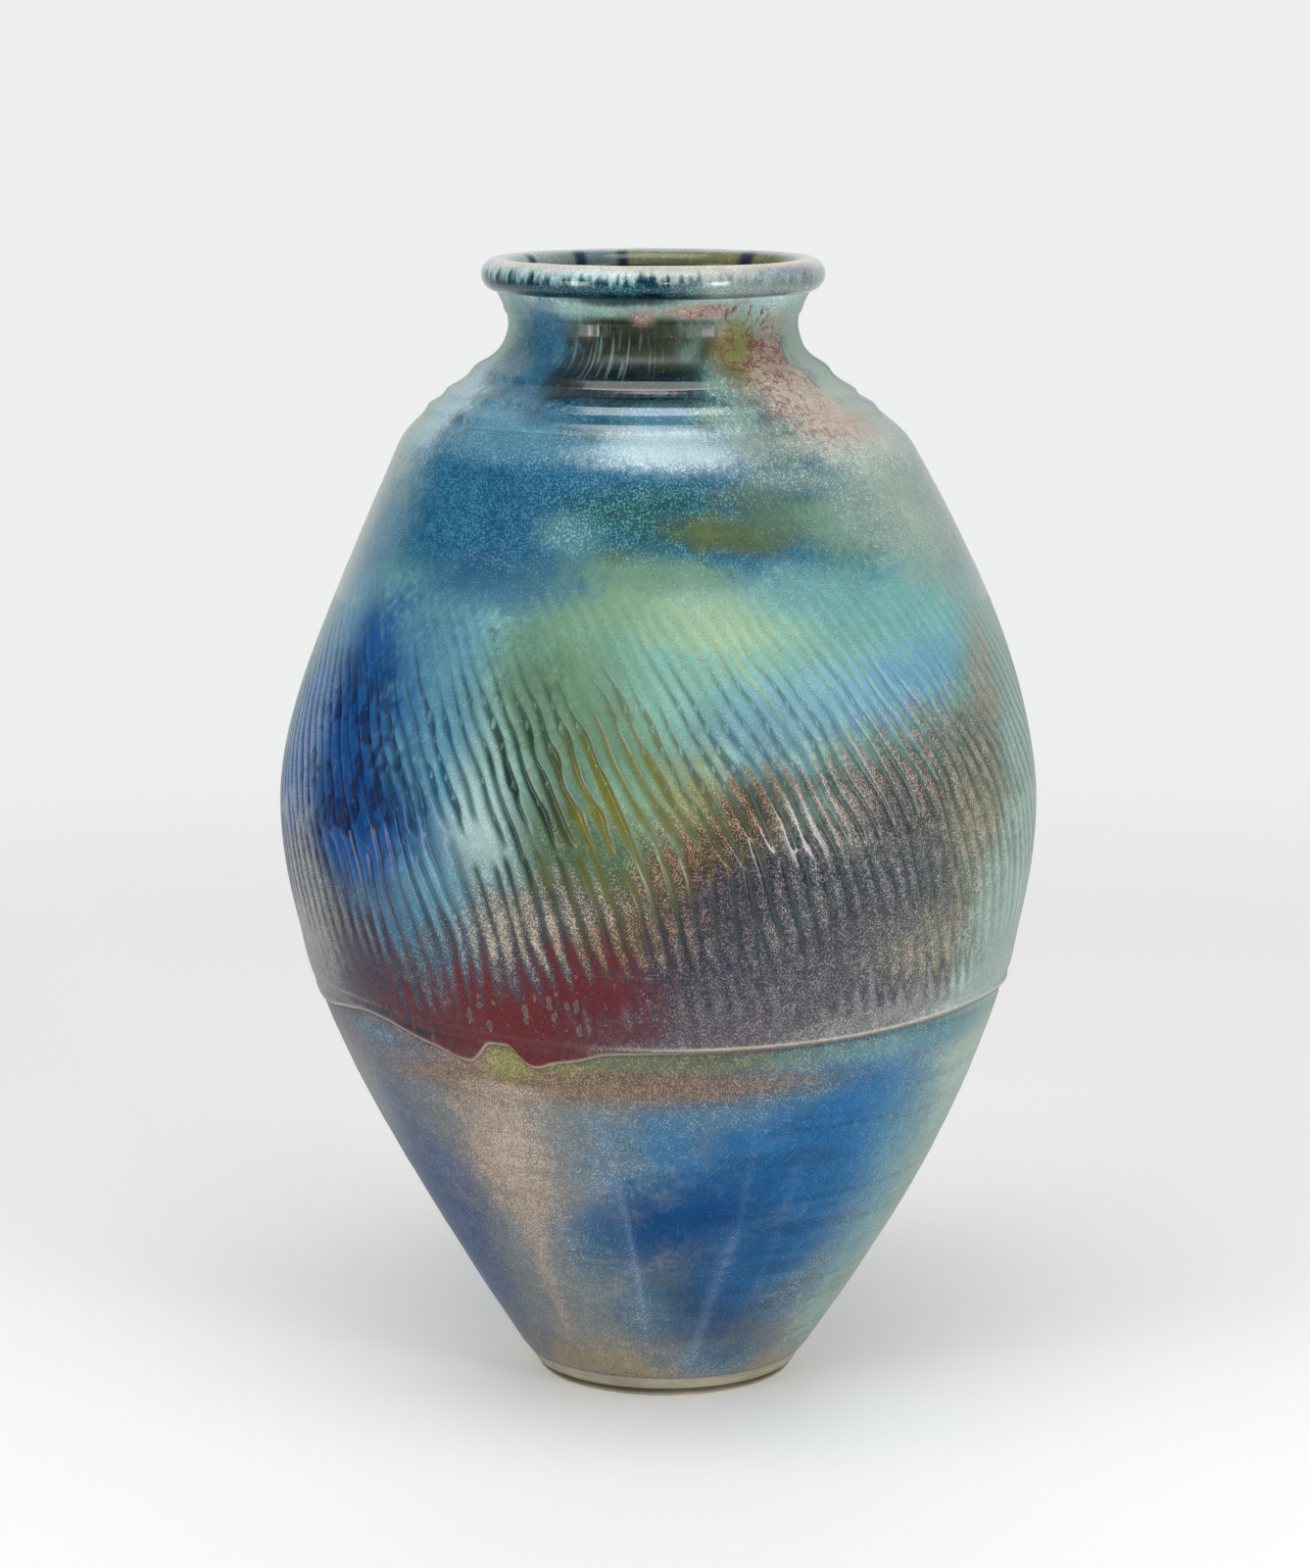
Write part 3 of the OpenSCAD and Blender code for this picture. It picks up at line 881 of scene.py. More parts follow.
def coat(name, face, levels, paint_at, inner_rows=8, step=0.12 * MM):
    """A closed shell of glaze: its outer face at levels, and a coarser inner face behind it."""
    angle = even_angles(levels)
    outer = face(angle, levels)
    normal = face_normals(face, angle, levels, step)
    keep = np.unique(np.round(np.linspace(0, len(levels) - 1, inner_rows)).astype(int))[::-1]
    points = np.concatenate([outer, outer[keep] - normal[keep] * GLAZE_T])
    normals = np.concatenate([normal, -normal[keep]])
    piece = mesh_from_grid(name, points, normals, closed_rows=True)
    rows = np.concatenate([np.arange(len(levels)), keep])
    store_paint(piece, paint_at(angle, levels), teal_mottle(angle, levels), dark_specks(angle, levels), rows)
    return piece


def lathe(name, outline, columns, poles=(False, False), closed=False, relief=None, drift=True):
    """A turned solid from an outline of radius and height pairs, in metres."""
    outline = np.asarray(outline, float)
    height = np.repeat(outline[:, 1:2], columns, 1)
    radius = np.repeat(outline[:, :1], columns, 1)
    angle = even_angles(height)
    if relief is not None:
        radius = radius + relief(angle, height)
    points = place_round(angle, radius, height, drift)
    return mesh_from_grid(name, points, closed_rows=closed, poles=poles)


# ---------------------------------------------------------------- materials

class Nodes:
    """The nodes of a material or of the world."""

    def __init__(self, owner):
        owner.use_nodes = True
        self.tree = owner.node_tree
        self.tree.nodes.clear()

    def add(self, kind, settings=None, **inputs):
        """Adds a node. An input is given by its name, or by its number written as _0."""
        node = self.tree.nodes.new(kind)
        for key, value in (settings or {}).items():
            setattr(node, key, value)
        for key, value in inputs.items():
            socket = node.inputs[int(key[1:])] if key[0] == "_" else node.inputs[key.replace("_", " ")]
            if isinstance(value, Signal):
                value = value.socket
            if isinstance(value, bpy.types.NodeSocket):
                self.tree.links.new(value, socket)
            else:
                socket.default_value = value
        return node

    def signal(self, kind, settings=None, output=0, **inputs):
        """One output of a new node."""
        return Signal(self, self.add(kind, settings, **inputs).outputs[output])

    def stored(self, name):
        """A colour stored on the piece, and the value stored with it."""
        outputs = self.add("ShaderNodeAttribute", {"attribute_name": name}).outputs
        return outputs["Color"], Signal(self, outputs["Alpha"])

    def split(self, rgb):
        """The three parts of a colour."""
        return [Signal(self, part) for part in self.add("ShaderNodeSeparateColor", _0=rgb).outputs[:3]]

    def noise(self, where, scale, detail, roughness):
        """Noise from 0 to 1."""
        return self.signal(
            "ShaderNodeTexNoise", Vector=where, Scale=scale, Detail=detail, Roughness=roughness,
        )

    def mix(self, share, a, b, blend="MIX"):
        """A colour between a and b."""
        settings = {"data_type": "RGBA", "blend_type": blend, "clamp_factor": True}
        return self.signal("ShaderNodeMix", settings, 2, _0=share, _6=a, _7=b)


class Signal:
    """A value in a tree of nodes. Sums, differences and products of signals add nodes."""

    def __init__(self, nodes, socket):
        self.nodes = nodes
        self.socket = socket

    def maths(self, operation, a, b=0.0):
        """A signal worked out from one or two values."""
        return self.nodes.signal("ShaderNodeMath", {"operation": operation}, _0=a, _1=b)

    def __add__(self, other):
        return self.maths("ADD", self, other)

    def __sub__(self, other):
        return self.maths("SUBTRACT", self, other)

    def __rsub__(self, other):
        return self.maths("SUBTRACT", other, self)

    def __mul__(self, other):
        return self.maths("MULTIPLY", self, other)

    def __abs__(self):
        return self.maths("ABSOLUTE", self)

    def step(self, low, high, least=0.0, most=1.0):
        """A smooth step as the signal goes from low to high."""
        return self.nodes.signal("ShaderNodeMapRange", {"interpolation_type": "SMOOTHSTEP"}, Value=self,
                                 From_Min=low, From_Max=high, To_Min=least, To_Max=most)

    def scaled(self, low, high, least, most):
        """The signal spread evenly, from low and high to least and most."""
        return self.nodes.signal("ShaderNodeMapRange", Value=self, From_Min=low, From_Max=high,
                                 To_Min=least, To_Max=most)


def glaze_material(name, grain, stretch, roughness, specular, coat_weight, coat_roughness, relief):
    """Mottled glaze: crystals in a melt, both coloured by the piece, with veins and blisters."""
    material = bpy.data.materials.new(name)
    nodes = Nodes(material)
    place = nodes.signal("ShaderNodeTexCoord", output="Object")
    runs = nodes.signal("ShaderNodeMapping", Vector=place, Scale=(1, 1, stretch))
    drawn = nodes.signal("ShaderNodeMapping", Vector=place, Scale=(1, 1, 0.45))
    melt, cover = nodes.stored("melt")
    crystal, veined = nodes.stored("crystal")
    marks, specked = nodes.stored("marks")
    spots, glass, mottled = nodes.split(marks)

    # Crystals: fine grain, or mottling where it is asked for, thresholded to cover a share
    dust = nodes.noise(runs, grain, 2, 0.6)
    mottle = nodes.noise(runs, grain * 0.6, 3, 0.55)
    fine = dust + (mottle - dust) * mottled
    both = fine * 0.8 + nodes.noise(runs, grain * 0.12, 3, 0.65) * 0.2
    grains = (both - (cover * -0.30 + 0.65)).step(-0.035, 0.045)
    body = nodes.mix(grains, melt, crystal)

    # Slow clouds, fine pale specks painted in as glints of light off crystals, and fine dark specks
    cloud = nodes.noise(runs, 42, 4, 0.6)
    shade = cloud.scaled(0.3, 0.7, 0.88, 1.12)
    grey = nodes.signal("ShaderNodeCombineColor", _0=shade, _1=shade, _2=shade)
    body = nodes.mix(1.0, body, grey, "MULTIPLY")
    glints_and_specks = nodes.noise(place, 1500, 1, 0.5)
    # Painted glints: pale specks stand in for light sparkling off crystals.
    body = nodes.mix(glints_and_specks.step(0.69, 0.76) * 0.18, body, (0.7, 0.69, 0.65, 1))
    body = nodes.mix(glints_and_specks.step(0.38, 0.30) * 0.35, body, (0.02, 0.025, 0.035, 1))

    # Veins of dark red where the glazes meet
    web = nodes.noise(place, 95, 5, 0.62)
    body = nodes.mix(abs(web - 0.5).step(0.028, 0.008) * veined, body, (0.16, 0.028, 0.035, 1))

    # Blisters: thin pale rings with dark middles, drawn out downward, and blue-black specks
    wander = nodes.noise(place, 420, 2, 0.6)
    cells = nodes.add("ShaderNodeTexVoronoi", Vector=drawn, Scale=260, Randomness=1.0).outputs
    chance, girth = nodes.split(cells["Color"])[:2]
    size = Signal(nodes, cells["Distance"]) + (wander - 0.5) * 0.9 + girth * 0.22
    here = (chance - (1.0 - spots)).step(0.0, 0.05)
    blister = size.step(0.40, 0.34) * here
    body = nodes.mix(blister * 0.6, body, (0.21, 0.155, 0.12, 1))
    body = nodes.mix(size.step(0.30, 0.24) * here * 0.8, body, (0.045, 0.05, 0.05, 1))
    speck = nodes.noise(drawn, 400, 2, 0.5).step(0.485, 0.51) * specked
    body = nodes.mix(speck * 0.92, body, (0.006, 0.010, 0.022, 1))

    # Finish: glassy melt, duller crystals, and the tiny relief of both
    clear = 1.0 - glass * 0.85
    dull = (grains * 0.16 + roughness + (cloud - 0.5) * 0.25) * clear
    high = (grains * 0.5 + fine * 0.6) * clear + blister * 0.25
    bump = nodes.signal("ShaderNodeBump", Strength=relief, Distance=0.0002, Height=high)
    shader = nodes.signal("ShaderNodeBsdfPrincipled", Base_Color=body, Roughness=dull, Normal=bump, IOR=1.5,
                          Specular_IOR_Level=specular, Coat_Weight=coat_weight,
                          Coat_Roughness=coat_roughness, Coat_IOR=1.45)
    nodes.add("ShaderNodeOutputMaterial", Surface=shader)
    return material


def clay_material(name, dark, light, roughness):
    """Fired stoneware: gritty clay with turning lines and iron specks."""
    material = bpy.data.materials.new(name)
    nodes = Nodes(material)
    place = nodes.signal("ShaderNodeTexCoord", output="Object")
    lines = nodes.signal("ShaderNodeMapping", Vector=place, Scale=(0.02, 0.02, 1))
    grit = nodes.noise(place, 700, 4, 0.7)
    turning = nodes.noise(lines, 900, 3, 0.6)
    cloud = nodes.noise(place, 45, 3, 0.55)
    share = (cloud * 0.6 + turning * 0.4).step(0.35, 0.65)
    body = nodes.mix(share, (*colour(dark), 1), (*colour(light), 1))
    body = nodes.mix(grit.step(0.60, 0.70) * 0.4, body, (0.55, 0.50, 0.42, 1))
    body = nodes.mix(grit.step(0.36, 0.28) * 0.6, body, (0.07, 0.05, 0.035, 1))
    high = grit * 0.6 + turning * 0.6
    bump = nodes.signal("ShaderNodeBump", Strength=0.45, Distance=0.0003, Height=high)
    dull = grit * 0.2 + roughness
    shader = nodes.signal("ShaderNodeBsdfPrincipled", Base_Color=body, Roughness=dull, Normal=bump)
    nodes.add("ShaderNodeOutputMaterial", Surface=shader)
    return material


# Each glaze's finish: grain, stretch of the grain, roughness, specular level, weight and roughness
# of its clear coat, and relief
LOWER_GLAZE = glaze_material("lower_glaze_finish", 1850, 0.85, 0.36, 0.10, 0.0, 0.2, 0.25)
UPPER_GLAZE = glaze_material("upper_glaze_finish", 2050, 0.75, 0.38, 0.22, 0.22, 0.2, 0.25)
SHOULDER_GLAZE = glaze_material("shoulder_glaze_finish", 2400, 0.75, 0.38, 0.22, 0.55, 0.12, 0.25)
RIM_GLAZE = glaze_material("rim_glaze_finish", 1900, 0.6, 0.30, 0.3, 0.4, 0.16, 0.15)
NECK_GLAZE = glaze_material("neck_glaze_finish", 2600, 0.45, 0.42, 0.95, 0.25, 0.12, 0.12)
NECK_TOP_GLAZE = glaze_material("neck_top_glaze_finish", 2600, 0.45, 0.43, 0.5, 0.15, 0.12, 0.14)
BARE_CLAY = clay_material("bare_stoneware", "87816f", "a8a08a", 0.5)
BODY_CLAY = clay_material("stoneware_body", "6b6152", "857a68", 0.75)


# ---------------------------------------------------------------- the pieces

def finish_piece(piece, material, slot, *nodes):
    """Gives a piece its material and its body, and hides the CAD nodes it stands for. The slot is not used.
    """
    piece.data.materials.append(material)
    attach(piece, "root")
    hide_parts(*nodes)
    return piece


def paint_lower(angle, height):
    """Colours of the lower coat, with its pale bead above the foot and a painted shadow under the upper
    coat's edge at the join.
    """
    paint = lay_glaze(angle, height, LOWER_PATCHES, 0.1)
    for name, at_top, top, at_bottom, bottom, half_width, strength in STREAKS:
        for turn in STREAK_TURNS:
            run = (turn + at_top, top, turn + at_bottom, bottom, half_width)
            paint.blend(name, strength * streak_mask(angle, height / MM, *run))
    low = height - GLAZE_START
    paint.tint(bell(low, 1.7 * MM, 0.8 * MM), "a39b98", 0.75, "b4aca6", 0.75)
    line = np.maximum(1 - smooth(low, 0.6 * MM, 1.2 * MM), 0.5 * bell(low, 3.0 * MM, 0.5 * MM))
    paint.tint(line, "173a4c", 0.85, "35566a", 0.8)
    tilt = height + 1.2 * MM * np.sin(np.radians(angle + 70))
    rings = noise(angle, tilt, 30, 2.7 * MM, 105) + 0.4 * noise(angle, tilt, 9, 2.0 * MM, 106)
    shown = 0.35 + 0.65 * smooth(np.sin(np.radians(angle)), -0.1, 0.4)
    paint.melt = paint.melt * (1 - 0.20 * smooth(rings, 0.0, 0.8) * shown)[..., None]
    # Painted shadow: a dark band just below the upper coat's edge, where that edge shades the lower coat.
    shadow = bell(DRIP_EDGE(angle) - height / MM, 0, 0.9)
    paint.tint(shadow, "3b3d38", 0.6, "6d6a5c", 0.6)
    return paint


def paint_upper(angle, height):
    """Colours of the upper coat: pooled grooves, pale rim along its edge, a painted highlight on the join's
    ridge with painted shade under it, blisters over the red.
    """
    z = height / MM
    cut = groove_cut(angle, height)
    paint = lay_glaze(angle, height, UPPER_PATCHES, 0.25, fingers(angle, height))
    pool_grooves(paint, angle, height, cut)
    leaves = both_sides(angle, z, -20, 254, 9, 34, -1.6) * smooth(cut, 0.12, 0.45)
    leaves = leaves * smooth(noise(angle, height, 2.8, 20 * MM, 121), -0.35, 0.1)
    paint.tint(leaves, "142c2a", 0.85, "3c5a50", 0.8)
    blotch = noise(angle, height, 2.0, 7 * MM, 103) + 0.7 * noise(angle, height, 0.9, 3 * MM, 104)
    blotch = smooth(blotch, 0.05, 0.5) * both_sides(angle, z, -53, 262, 15, 54, -0.4)
    paint.tint(blotch, "001038", 0.75, "123c74", 0.7)
    paint.tint(bell(z - DRIP_EDGE(angle), 0.6, 0.7), "a99a86", 0.75)
    # Painted highlight and painted shade on the join's ridge: a pale line along its crest, partly the glaze
    # breaking pale there, and a dark line of painted shade under it, strongest on the right.
    right = hump(wrapped(angle), -16, 10, 120, 150)
    left = bell(wrapped(angle), -58, 10)
    above = z - RIDGE(angle)
    paint.tint(bell(above, 0.2, 0.55) * (0.04 + 0.96 * right + 0.3 * left), "b3ab9c", 0.8, "d2cabc", 0.7)
    paint.tint(bell(above, -1.25, 0.55) * right, "1c2c36", 0.8, "4a5a60", 0.7)
    paint.spots = np.clip(patch_sum(
        angle, z, (0.75, -19, 185, 17, 14, 0.2), (0.5, -36, 168, 8, 4.5, -0.3), (0.6, 162, 176, 20, 15, 0.2),
    ), 0, 0.8)
    paint.vein = patch_sum(angle, z, (0.5, 44, 402, 22, 16), (0.4, -136, 402, 22, 16))
    glass = 0.08 + 0.6 * cut * patch_mask(angle, z, -16, 262, 14, 36)
    glass = glass + 0.5 * patch_mask(angle, z, -20, 178, 26, 22, 0.3)
    glass = glass + 0.8 * (1 - smooth(cut, 0.1, 0.5)) * patch_mask(angle, z, 18, 245, 9, 24, -1.8)
    paint.glass = np.clip(glass, 0, 1)
    return paint


def paint_neck(angle, height):
    """Colours of the neck: pale and dark streaks drawn downward, the pale ones partly a painted sheen, glassy
    patches and red veins.
    """
    z = height / MM
    paint = lay_glaze(angle, height, UPPER_PATCHES)
    vein = patch_sum(angle, z, (0.85, 42, 422, 20, 26), (0.7, 26, 441, 22, 4), (0.6, -138, 420, 24, 26))
    paint.vein = np.clip(vein, 0, 1)
    drawn = noise(angle, height, 0.9, 14 * MM, 111) + 0.5 * noise(angle, height, 0.5, 7 * MM, 112)
    wet = patch_mask(angle, z, -16, 425, 20, 9)
    # Partly painted sheen: the pale streaks are pale glaze runs, lightened where the neck's streaky sheen
    # shows.
    paint.tint(wet * smooth(drawn, 0.15, 0.8), "8fb0ae", 0.5, "b4ccc6", 0.5)
    paint.tint(wet * smooth(-drawn, 0.1, 0.7), "04141a", 0.6)
    glass = patch_mask(angle, z, -2, 410, 29, 13) * (0.75 + 0.25 * smooth(drawn, -0.5, 0.2))
    glass = glass + 0.8 * patch_mask(angle, z, -20, 435, 7, 6) * smooth(drawn, -0.6, 0.3)
    paint.glass = np.clip(glass, 0, 1)
    return paint


# Dark blue runs down the inside: place round and half width, in degrees
INNER_RUNS = ((-148, 3.0), (-167, 2.4), (138, 4.0), (-120, 3.0), (40, 3.4), (8, 2.4))


def paint_roll(angle, turn):
    """Colours of the lip: ivory crest, pearl roll, and teal that breaks through underneath."""
    paint = even_paint("pearl", angle)
    streak = clouds(angle, turn * MM, 1.5, 60 * MM, 91)
    sag = noise(angle, 0.1, 7, MM, 92)
    paint.blend("aqua", 0.7 * (1 - smooth(turn + 18 * streak, 2, 40)))
    paint.blend("shell", 0.45 * smooth(facing(angle, 38), 0.5, 0.95))
    teal_side = np.maximum(smooth(facing(angle, -32), 0.45, 0.85), 0.7 * bell(wrapped(angle - 160), 0, 50))
    teal_side = np.maximum(teal_side, 0.35)
    paint.blend("breaking_teal", teal_side * (1 - smooth(turn + 34 * streak + 12 * sag, -2, 36)))
    paint.blend("black_teal", teal_side * (1 - smooth(turn + 12 * sag, -52, -30)))
    paint.blend("lilac", 0.55 * bell(wrapped(angle - 52), 0, 16) * smooth(turn, 0, 40))
    paint.blend("ivory", 0.95 * bell(turn, 78, 30))
    inner = smooth(turn, 104, 138)
    paint.blend("gold_olive", 0.9 * inner * smooth(facing(angle, 150), -0.2, 0.8))
    paint.blend("sky", 0.6 * inner * smooth(-facing(angle, 150), -0.2, 0.6))
    paint.blend("sky", 0.6 * inner * bell(wrapped(angle + 155), 0, 12))
    for at, wide in INNER_RUNS:
        paint.blend("ink_run", 0.9 * inner * bell(wrapped(angle - at), 0, wide, 4))
    paint.vein = 0.5 * bell(wrapped(angle - 38), 0, 18) * (1 - smooth(turn, -60, -10))
    paint.glass = 0.6 + 0 * angle
    return paint


def paint_liner(angle, height):
    """Colours inside: olive glass with dark blue runs below the lip."""
    paint = even_paint("gold_olive", angle)
    paint.blend("glass_olive", smooth(clouds(angle, height, 40, 60 * MM, 95), -0.3, 0.4))
    cool = facing(angle, 205) + 0.5 * clouds(angle, height, 20, 90 * MM, 98, 2)
    paint.blend("sky", smooth(cool, 0.1, 0.7))
    for at, wide in INNER_RUNS:
        across = wrapped(angle - at + 1.2 * noise(angle, height, 30, 20 * MM, 99))
        paint.tint(bell(across, 0, wide, 4), "0c1c44", 0.9, "2b3f7a", 0.8)
    paint.cover = 0.3 + 0 * angle
    paint.glass = 0.6 + 0 * angle
    return paint


# Columns of points round each kind of piece
LOWER_COLUMNS = 640
BELLY_COLUMNS = 12 * FLUTES
NECK_COLUMNS = 800
RIM_COLUMNS = 640
LINER_COLUMNS = 480
CLAY_COLUMNS = 256
FOOT_COLUMNS = 384


def even_levels(low, high, rows, columns):
    """Rows of one height each, from low to high."""
    return np.repeat(np.linspace(low, high, rows)[:, None], columns, 1)


def drip_heights(columns):
    """Height of the upper glaze's lower edge at each column."""
    return DRIP_EDGE(np.linspace(-180, 180, columns, endpoint=False)) * MM


def build_coats():
    """The coats of glaze, from the foot to the lip, split where their detail changes."""
    edge = drip_heights(LOWER_COLUMNS)
    share = np.linspace(0, 1, 140)[:, None]
    for name, low, high in (
        ("lower_coat_base", GLAZE_START, LOWER_SPLIT + 0 * edge),
        ("lower_coat_top", LOWER_SPLIT, edge + TUCKED),
    ):
        piece = coat(name, lower_face, low + (high - low) * share, paint_lower)
        finish_piece(piece, LOWER_GLAZE, "lower_glaze", "lower_glaze")

    edge = drip_heights(BELLY_COLUMNS)
    rise = np.concatenate([np.linspace(0, 3.2, 11)[:-1], np.linspace(3.2, 36, 47)])
    belly = [edge + (BELLY_SPLITS[0] - edge) * (rise / rise[-1])[:, None]]
    for low, high in zip(BELLY_SPLITS, (*BELLY_SPLITS[1:], FLUTE_TOP)):
        belly.append(even_levels(low, high, 57, BELLY_COLUMNS))
    for part, levels in zip(("low", "mid", "high", "top"), belly):
        piece = coat("belly_coat_" + part, upper_face, levels, paint_upper, inner_rows=7)
        finish_piece(piece, UPPER_GLAZE, "upper_glaze", "belly_glaze")

    levels = even_levels(FLUTE_TOP, NECK_BASE, 74, NECK_COLUMNS)
    piece = coat("shoulder_coat", upper_face, levels, paint_upper)
    finish_piece(piece, SHOULDER_GLAZE, "upper_glaze", "shoulder_glaze")
    for name, low, high, material in (
        ("neck_coat_low", NECK_BASE, NECK_SPLIT, NECK_GLAZE),
        ("neck_coat_top", NECK_SPLIT, LIP_BASE, NECK_TOP_GLAZE),
    ):
        piece = coat(name, upper_face, even_levels(low, high, 60, NECK_COLUMNS), paint_neck)
        finish_piece(piece, material, "neck_glaze", "neck_glaze")

    levels = even_levels(-92, 180, 60, RIM_COLUMNS)
    piece = coat("rim_coat", roll_point, levels, paint_roll, inner_rows=30, step=1.0)
    finish_piece(piece, RIM_GLAZE, "rim_glaze", "rim_glaze")


def inner_face(angle, height):
    """Inner face of the wall, which follows the outer one at the wall's thickness."""
    thickness = OUTER(height) - INNER(height)
    return wall_point(angle, height, 0.5 * throwing_marks(angle, height) - thickness)


INNER = Curve(*turned_outline(["liner_glaze"], np.min))


def build_liner():
    """The coat inside, from the middle of the floor to the lip, as a closed shell."""
    floor_top = FOOT_TOP + GLAZE_T
    low = np.linspace(floor_top + 0.3 * MM, 30 * MM, 14)[:-1]
    heights = np.concatenate([low, np.linspace(30 * MM, ROLL_Z, 150)])
    levels = np.repeat(heights[:, None], LINER_COLUMNS, 1)
    wall = inner_face(even_angles(levels), levels)
    spokes = np.array([0.03, 0.2, 0.4, 0.6, 0.8])[:, None]
    first = wall[0]
    middle = first.mean(0)
    floor = middle + (first - middle) * spokes[..., None]
    floor[..., 2] = floor_top
    skin = np.concatenate([floor, wall])
    away = skin - middle
    away[..., 2] = 0
    away = away / np.linalg.norm(away, axis=-1, keepdims=True)
    back = (skin + away * 0.6 * GLAZE_T)[::-12]
    back = np.where(back[..., 2:3] < floor_top + 2 * MM, back - np.array([0, 0, 0.5 * MM]), back)
    points = np.concatenate([skin[::-1], back[::-1]])
    piece = mesh_from_grid("liner_coat", points, closed_rows=True)
    height = points[..., 2]
    store_paint(piece, paint_liner(even_angles(height), height), 0 * height, 0 * height)
    finish_piece(piece, NECK_GLAZE, "liner_glaze", "liner_glaze")


def ring_outline(low, high, rows, out_depth, in_depth):
    """Outline of a wall section between two depths below the outer face."""
    height = np.linspace(low, high, rows)
    steep = np.sqrt(1 + np.gradient(OUTER(height), height) ** 2)
    outside = np.stack([OUTER(height) - out_depth * steep, height], -1)
    inside = np.stack([OUTER(height) - in_depth * steep, height], -1)
    return np.concatenate([outside, inside[::-1]])


def build_clay():
    """The clay under the glaze: plain sections that meet face to face."""
    hidden = GLAZE_T + 0.35 * MM
    back = WALL_T - GLAZE_T - 0.1 * MM
    for name, low, high, columns, relief, depth in (
        ("lower_wall", FOOT_TOP, SEAM, CLAY_COLUMNS, None, hidden + 0.6 * MM),
        ("belly_wall", SEAM, FLUTE_TOP, 4 * FLUTES, belly_relief, hidden + 0.5 * MM),
        ("shoulder_wall", FLUTE_TOP, NECK_BASE, CLAY_COLUMNS, None, hidden + 0.8 * MM),
        ("neck_collar", NECK_BASE, LIP_BASE, CLAY_COLUMNS, None, hidden + 0.3 * MM),
    ):
        outline = ring_outline(low, high, 40, depth, back)
        piece = lathe(name + "_clay", outline, columns, closed=True, relief=relief)
        finish_piece(piece, BODY_CLAY, "stoneware", name)

    turn = np.radians(np.linspace(-90, 180, 28))
    r = ROLL_R - GLAZE_T - 0.25 * MM
    arc = np.stack([ROLL_CENTRE + r * np.cos(turn), ROLL_Z + r * np.sin(turn)], -1)
    inner_foot = [[float(INNER(LIP_BASE)) + 1.2 * MM, LIP_BASE]]
    piece = lathe("rim_roll_clay", np.concatenate([arc, inner_foot]), CLAY_COLUMNS, closed=True)
    finish_piece(piece, BODY_CLAY, "stoneware", "rim_roll")

    turn = np.radians(np.linspace(0, 360, 20, endpoint=False))
    r = (BEAD_HIGH.z - BEAD_LOW.z) / 2
    centre = BEAD_HIGH.x - r
    ring = np.stack([centre - 1.6 * MM + 0.6 * r * np.cos(turn), SEAM + 0.6 * r * np.sin(turn)], -1)
    piece = lathe("join_bead_clay", ring, CLAY_COLUMNS, closed=True)
    finish_piece(piece, BODY_CLAY, "stoneware", "join_bead")


def build_foot():
    """The bare turned foot, with its groove, its bevel and the recess under the floor."""
    heights, radii = turned_outline(["foot"], np.max, least_gap=0.05 * MM)
    side = Curve(heights, radii)
    up = np.linspace(0, FOOT_TOP, 61)
    wall = np.interp(up, heights, radii)
    standing = vertices("foot")
    at_floor = np.hypot(standing[:, 0], standing[:, 1])[standing[:, 2] < 0.1 * MM]
    ring_in = at_floor.min()
    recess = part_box("foot")[0].z + RECESS_DEPTH
    under = [[0.8 * MM, recess], [0.5 * ring_in, recess], [ring_in - 1.6 * MM, recess],
             [ring_in - 1.0 * MM, recess - 0.5 * MM], [ring_in, 0.0], [(ring_in + side(0)) / 2, 0.0]]
    lid = [[0.5 * wall[-1], FOOT_TOP], [0.8 * MM, FOOT_TOP]]
    outline = np.concatenate([under, np.stack([wall, up], -1), lid])

    def turning(angle, height):
        """Fine turning lines on the outside of the foot."""
        outside = (height > 0.4 * MM) & (height < FOOT_TOP - 0.1 * MM)
        lines = 0.05 * noise(angle, height, 90, 0.5 * MM, 88)
        lines = lines + 0.12 * clouds(angle, height, 30, 20 * MM, 89, 2)
        return np.where(outside, lines * MM, 0)

    piece = lathe("turned_foot", outline, FOOT_COLUMNS, poles=(True, True), relief=turning)
    finish_piece(piece, BARE_CLAY, "bare_foot", "foot")


build_coats()
build_liner()
build_clay()
build_foot()


# ---------------------------------------------------------------- the studio

def build_floor():
    """A wide pale floor that glows faintly, more further out, and fades into the backdrop's light."""
    rings = np.concatenate([np.linspace(0.02, 1.0, 12), np.linspace(1.2, 5.0, 12)])
    outline = np.stack([rings, 0 * rings - 0.15 * MM], -1)
    floor = lathe("floor", outline, 96, poles=(True, False), drift=False)
    material = bpy.data.materials.new("floor_paper")
    nodes = Nodes(material)
    place = nodes.signal("ShaderNodeTexCoord", output="Object")
    far = nodes.signal("ShaderNodeVectorMath", {"operation": "LENGTH"}, "Value", _0=place)
    # The floor glows, faint near the vase and brighter further out. This keeps it as pale as the backdrop and
    # its shadows light, and it lights the foot of the vase from below.
    glow = far.scaled(0.3, 1.6, 0.20, 0.38)
    paper = nodes.signal("ShaderNodeBsdfPrincipled", Base_Color=(0.865, 0.86, 0.85, 1), Roughness=0.6,
                         Emission_Color=(1, 0.995, 0.98, 1), Emission_Strength=glow)
    clear = nodes.signal("ShaderNodeBsdfTransparent")
    nodes.add("ShaderNodeOutputMaterial",
              Surface=nodes.signal("ShaderNodeMixShader", _0=far.step(0.85, 1.6), _1=paper, _2=clear))
    floor.data.materials.append(material)


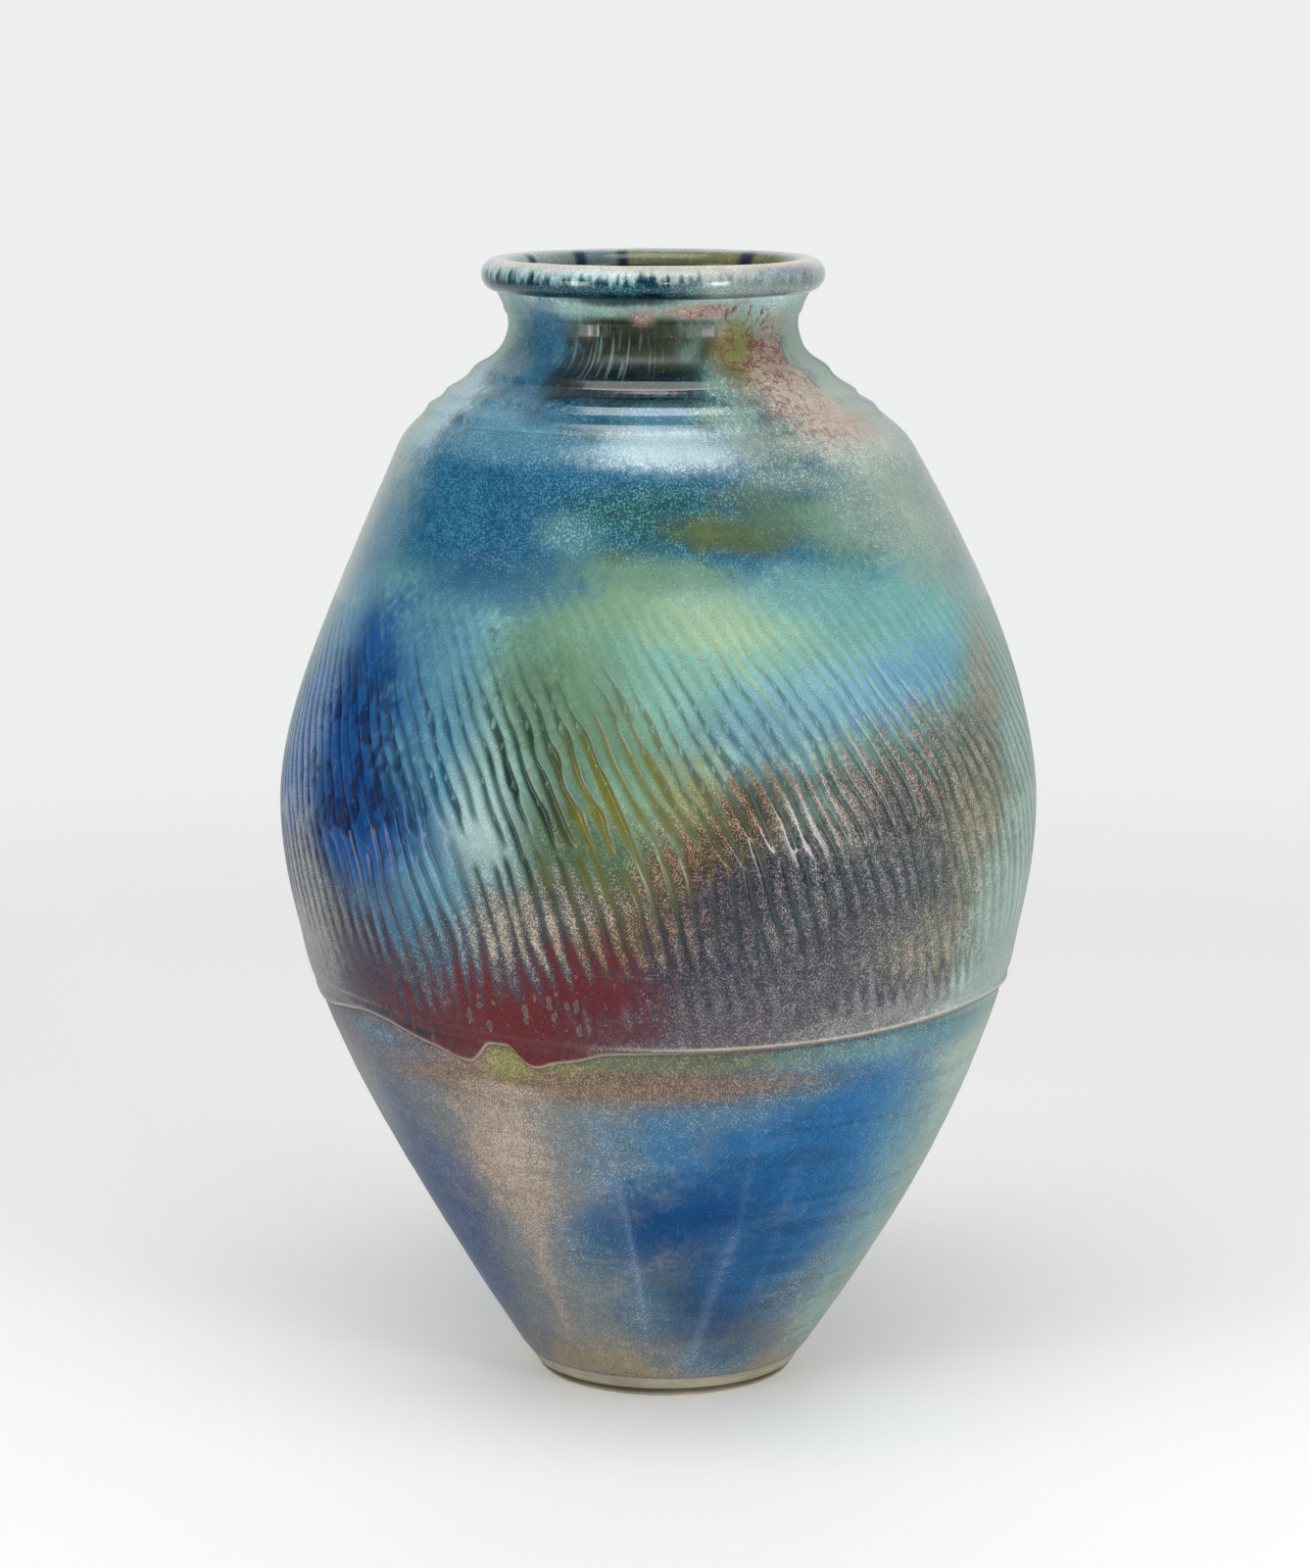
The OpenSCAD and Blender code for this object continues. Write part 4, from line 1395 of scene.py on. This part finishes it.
def build_world():
    """Soft studio light: bright above and behind, dim in front, and an even pale backdrop."""
    world = bpy.data.worlds.new("studio")
    bpy.context.scene.world = world
    nodes = Nodes(world)
    toward = nodes.signal("ShaderNodeTexCoord", output="Generated")
    behind = nodes.signal("ShaderNodeSeparateXYZ", output="Y", _0=toward)
    above = nodes.signal("ShaderNodeSeparateXYZ", output="Z", _0=toward)
    light = behind.step(0.35, 0.97, 0.035, 0.78) + above.step(0.25, 0.9, 0.0, 0.30)
    room = nodes.signal("ShaderNodeBackground", Color=(0.97, 0.985, 1.0, 1), Strength=light)
    backdrop = nodes.signal("ShaderNodeBackground", Color=(0.855, 0.86, 0.865, 1), Strength=1.0)
    seen = nodes.signal("ShaderNodeLightPath", output="Is Camera Ray")
    choice = nodes.signal("ShaderNodeMixShader", _0=seen, _1=room, _2=backdrop)
    nodes.add("ShaderNodeOutputWorld", Surface=choice)


BELLY_MIDDLE = Vector((0, 0, 0.24))


def soft_light(name, azimuth, elevation, distance, width, height, power, spread=180):
    """A rectangular light at an azimuth from the front and an elevation, facing the belly."""
    light = bpy.data.lights.new(name, "AREA")
    light.spread = math.radians(spread)
    light.shape = "RECTANGLE"
    light.size = width
    light.size_y = height
    light.energy = power
    lamp = bpy.data.objects.new(name, light)
    lamp.visible_camera = False
    bpy.context.scene.collection.objects.link(lamp)
    turn = math.radians(azimuth)
    rise = math.radians(elevation)
    level = math.cos(rise)
    toward = Vector((math.sin(turn) * level, -math.cos(turn) * level, math.sin(rise)))
    lamp.location = BELLY_MIDDLE + distance * toward
    lamp.rotation_euler = toward.to_track_quat("Z", "Y").to_euler()


# The camera's place in front of the vase, how far it looks down in degrees, and its lens in mm
CAMERA_PLACE = (-0.002, -1.7684, 0.5634)
CAMERA_DOWN = 10.2186
CAMERA_LENS = 100.5


def build_camera():
    """The viewpoint: a little above the vase, looking slightly down."""
    data = bpy.data.cameras.new("camera")
    data.sensor_width = 36
    data.lens = CAMERA_LENS
    camera = bpy.data.objects.new("camera", data)
    bpy.context.scene.collection.objects.link(camera)
    camera.location = CAMERA_PLACE
    camera.rotation_euler = (math.radians(90 - CAMERA_DOWN), 0, 0)
    bpy.context.scene.camera = camera


build_floor()
build_world()
# Each light: azimuth, elevation, distance, width, height, power and spread
soft_light("softbox_left", -52, 2, 1.3, 0.36, 0.62, 2.15, 100)
soft_light("softbox_right", 43, 3, 1.3, 0.26, 0.50, 2.5, 100)
soft_light("overhead", -3, 70, 1.9, 1.8, 1.15, 20.6)
soft_light("catch_light", 8, 8, 1.9, 0.05, 0.05, 2.0)
build_camera()
bpy.context.scene.view_settings.view_transform = "Standard"
bpy.context.scene.view_settings.look = "None"
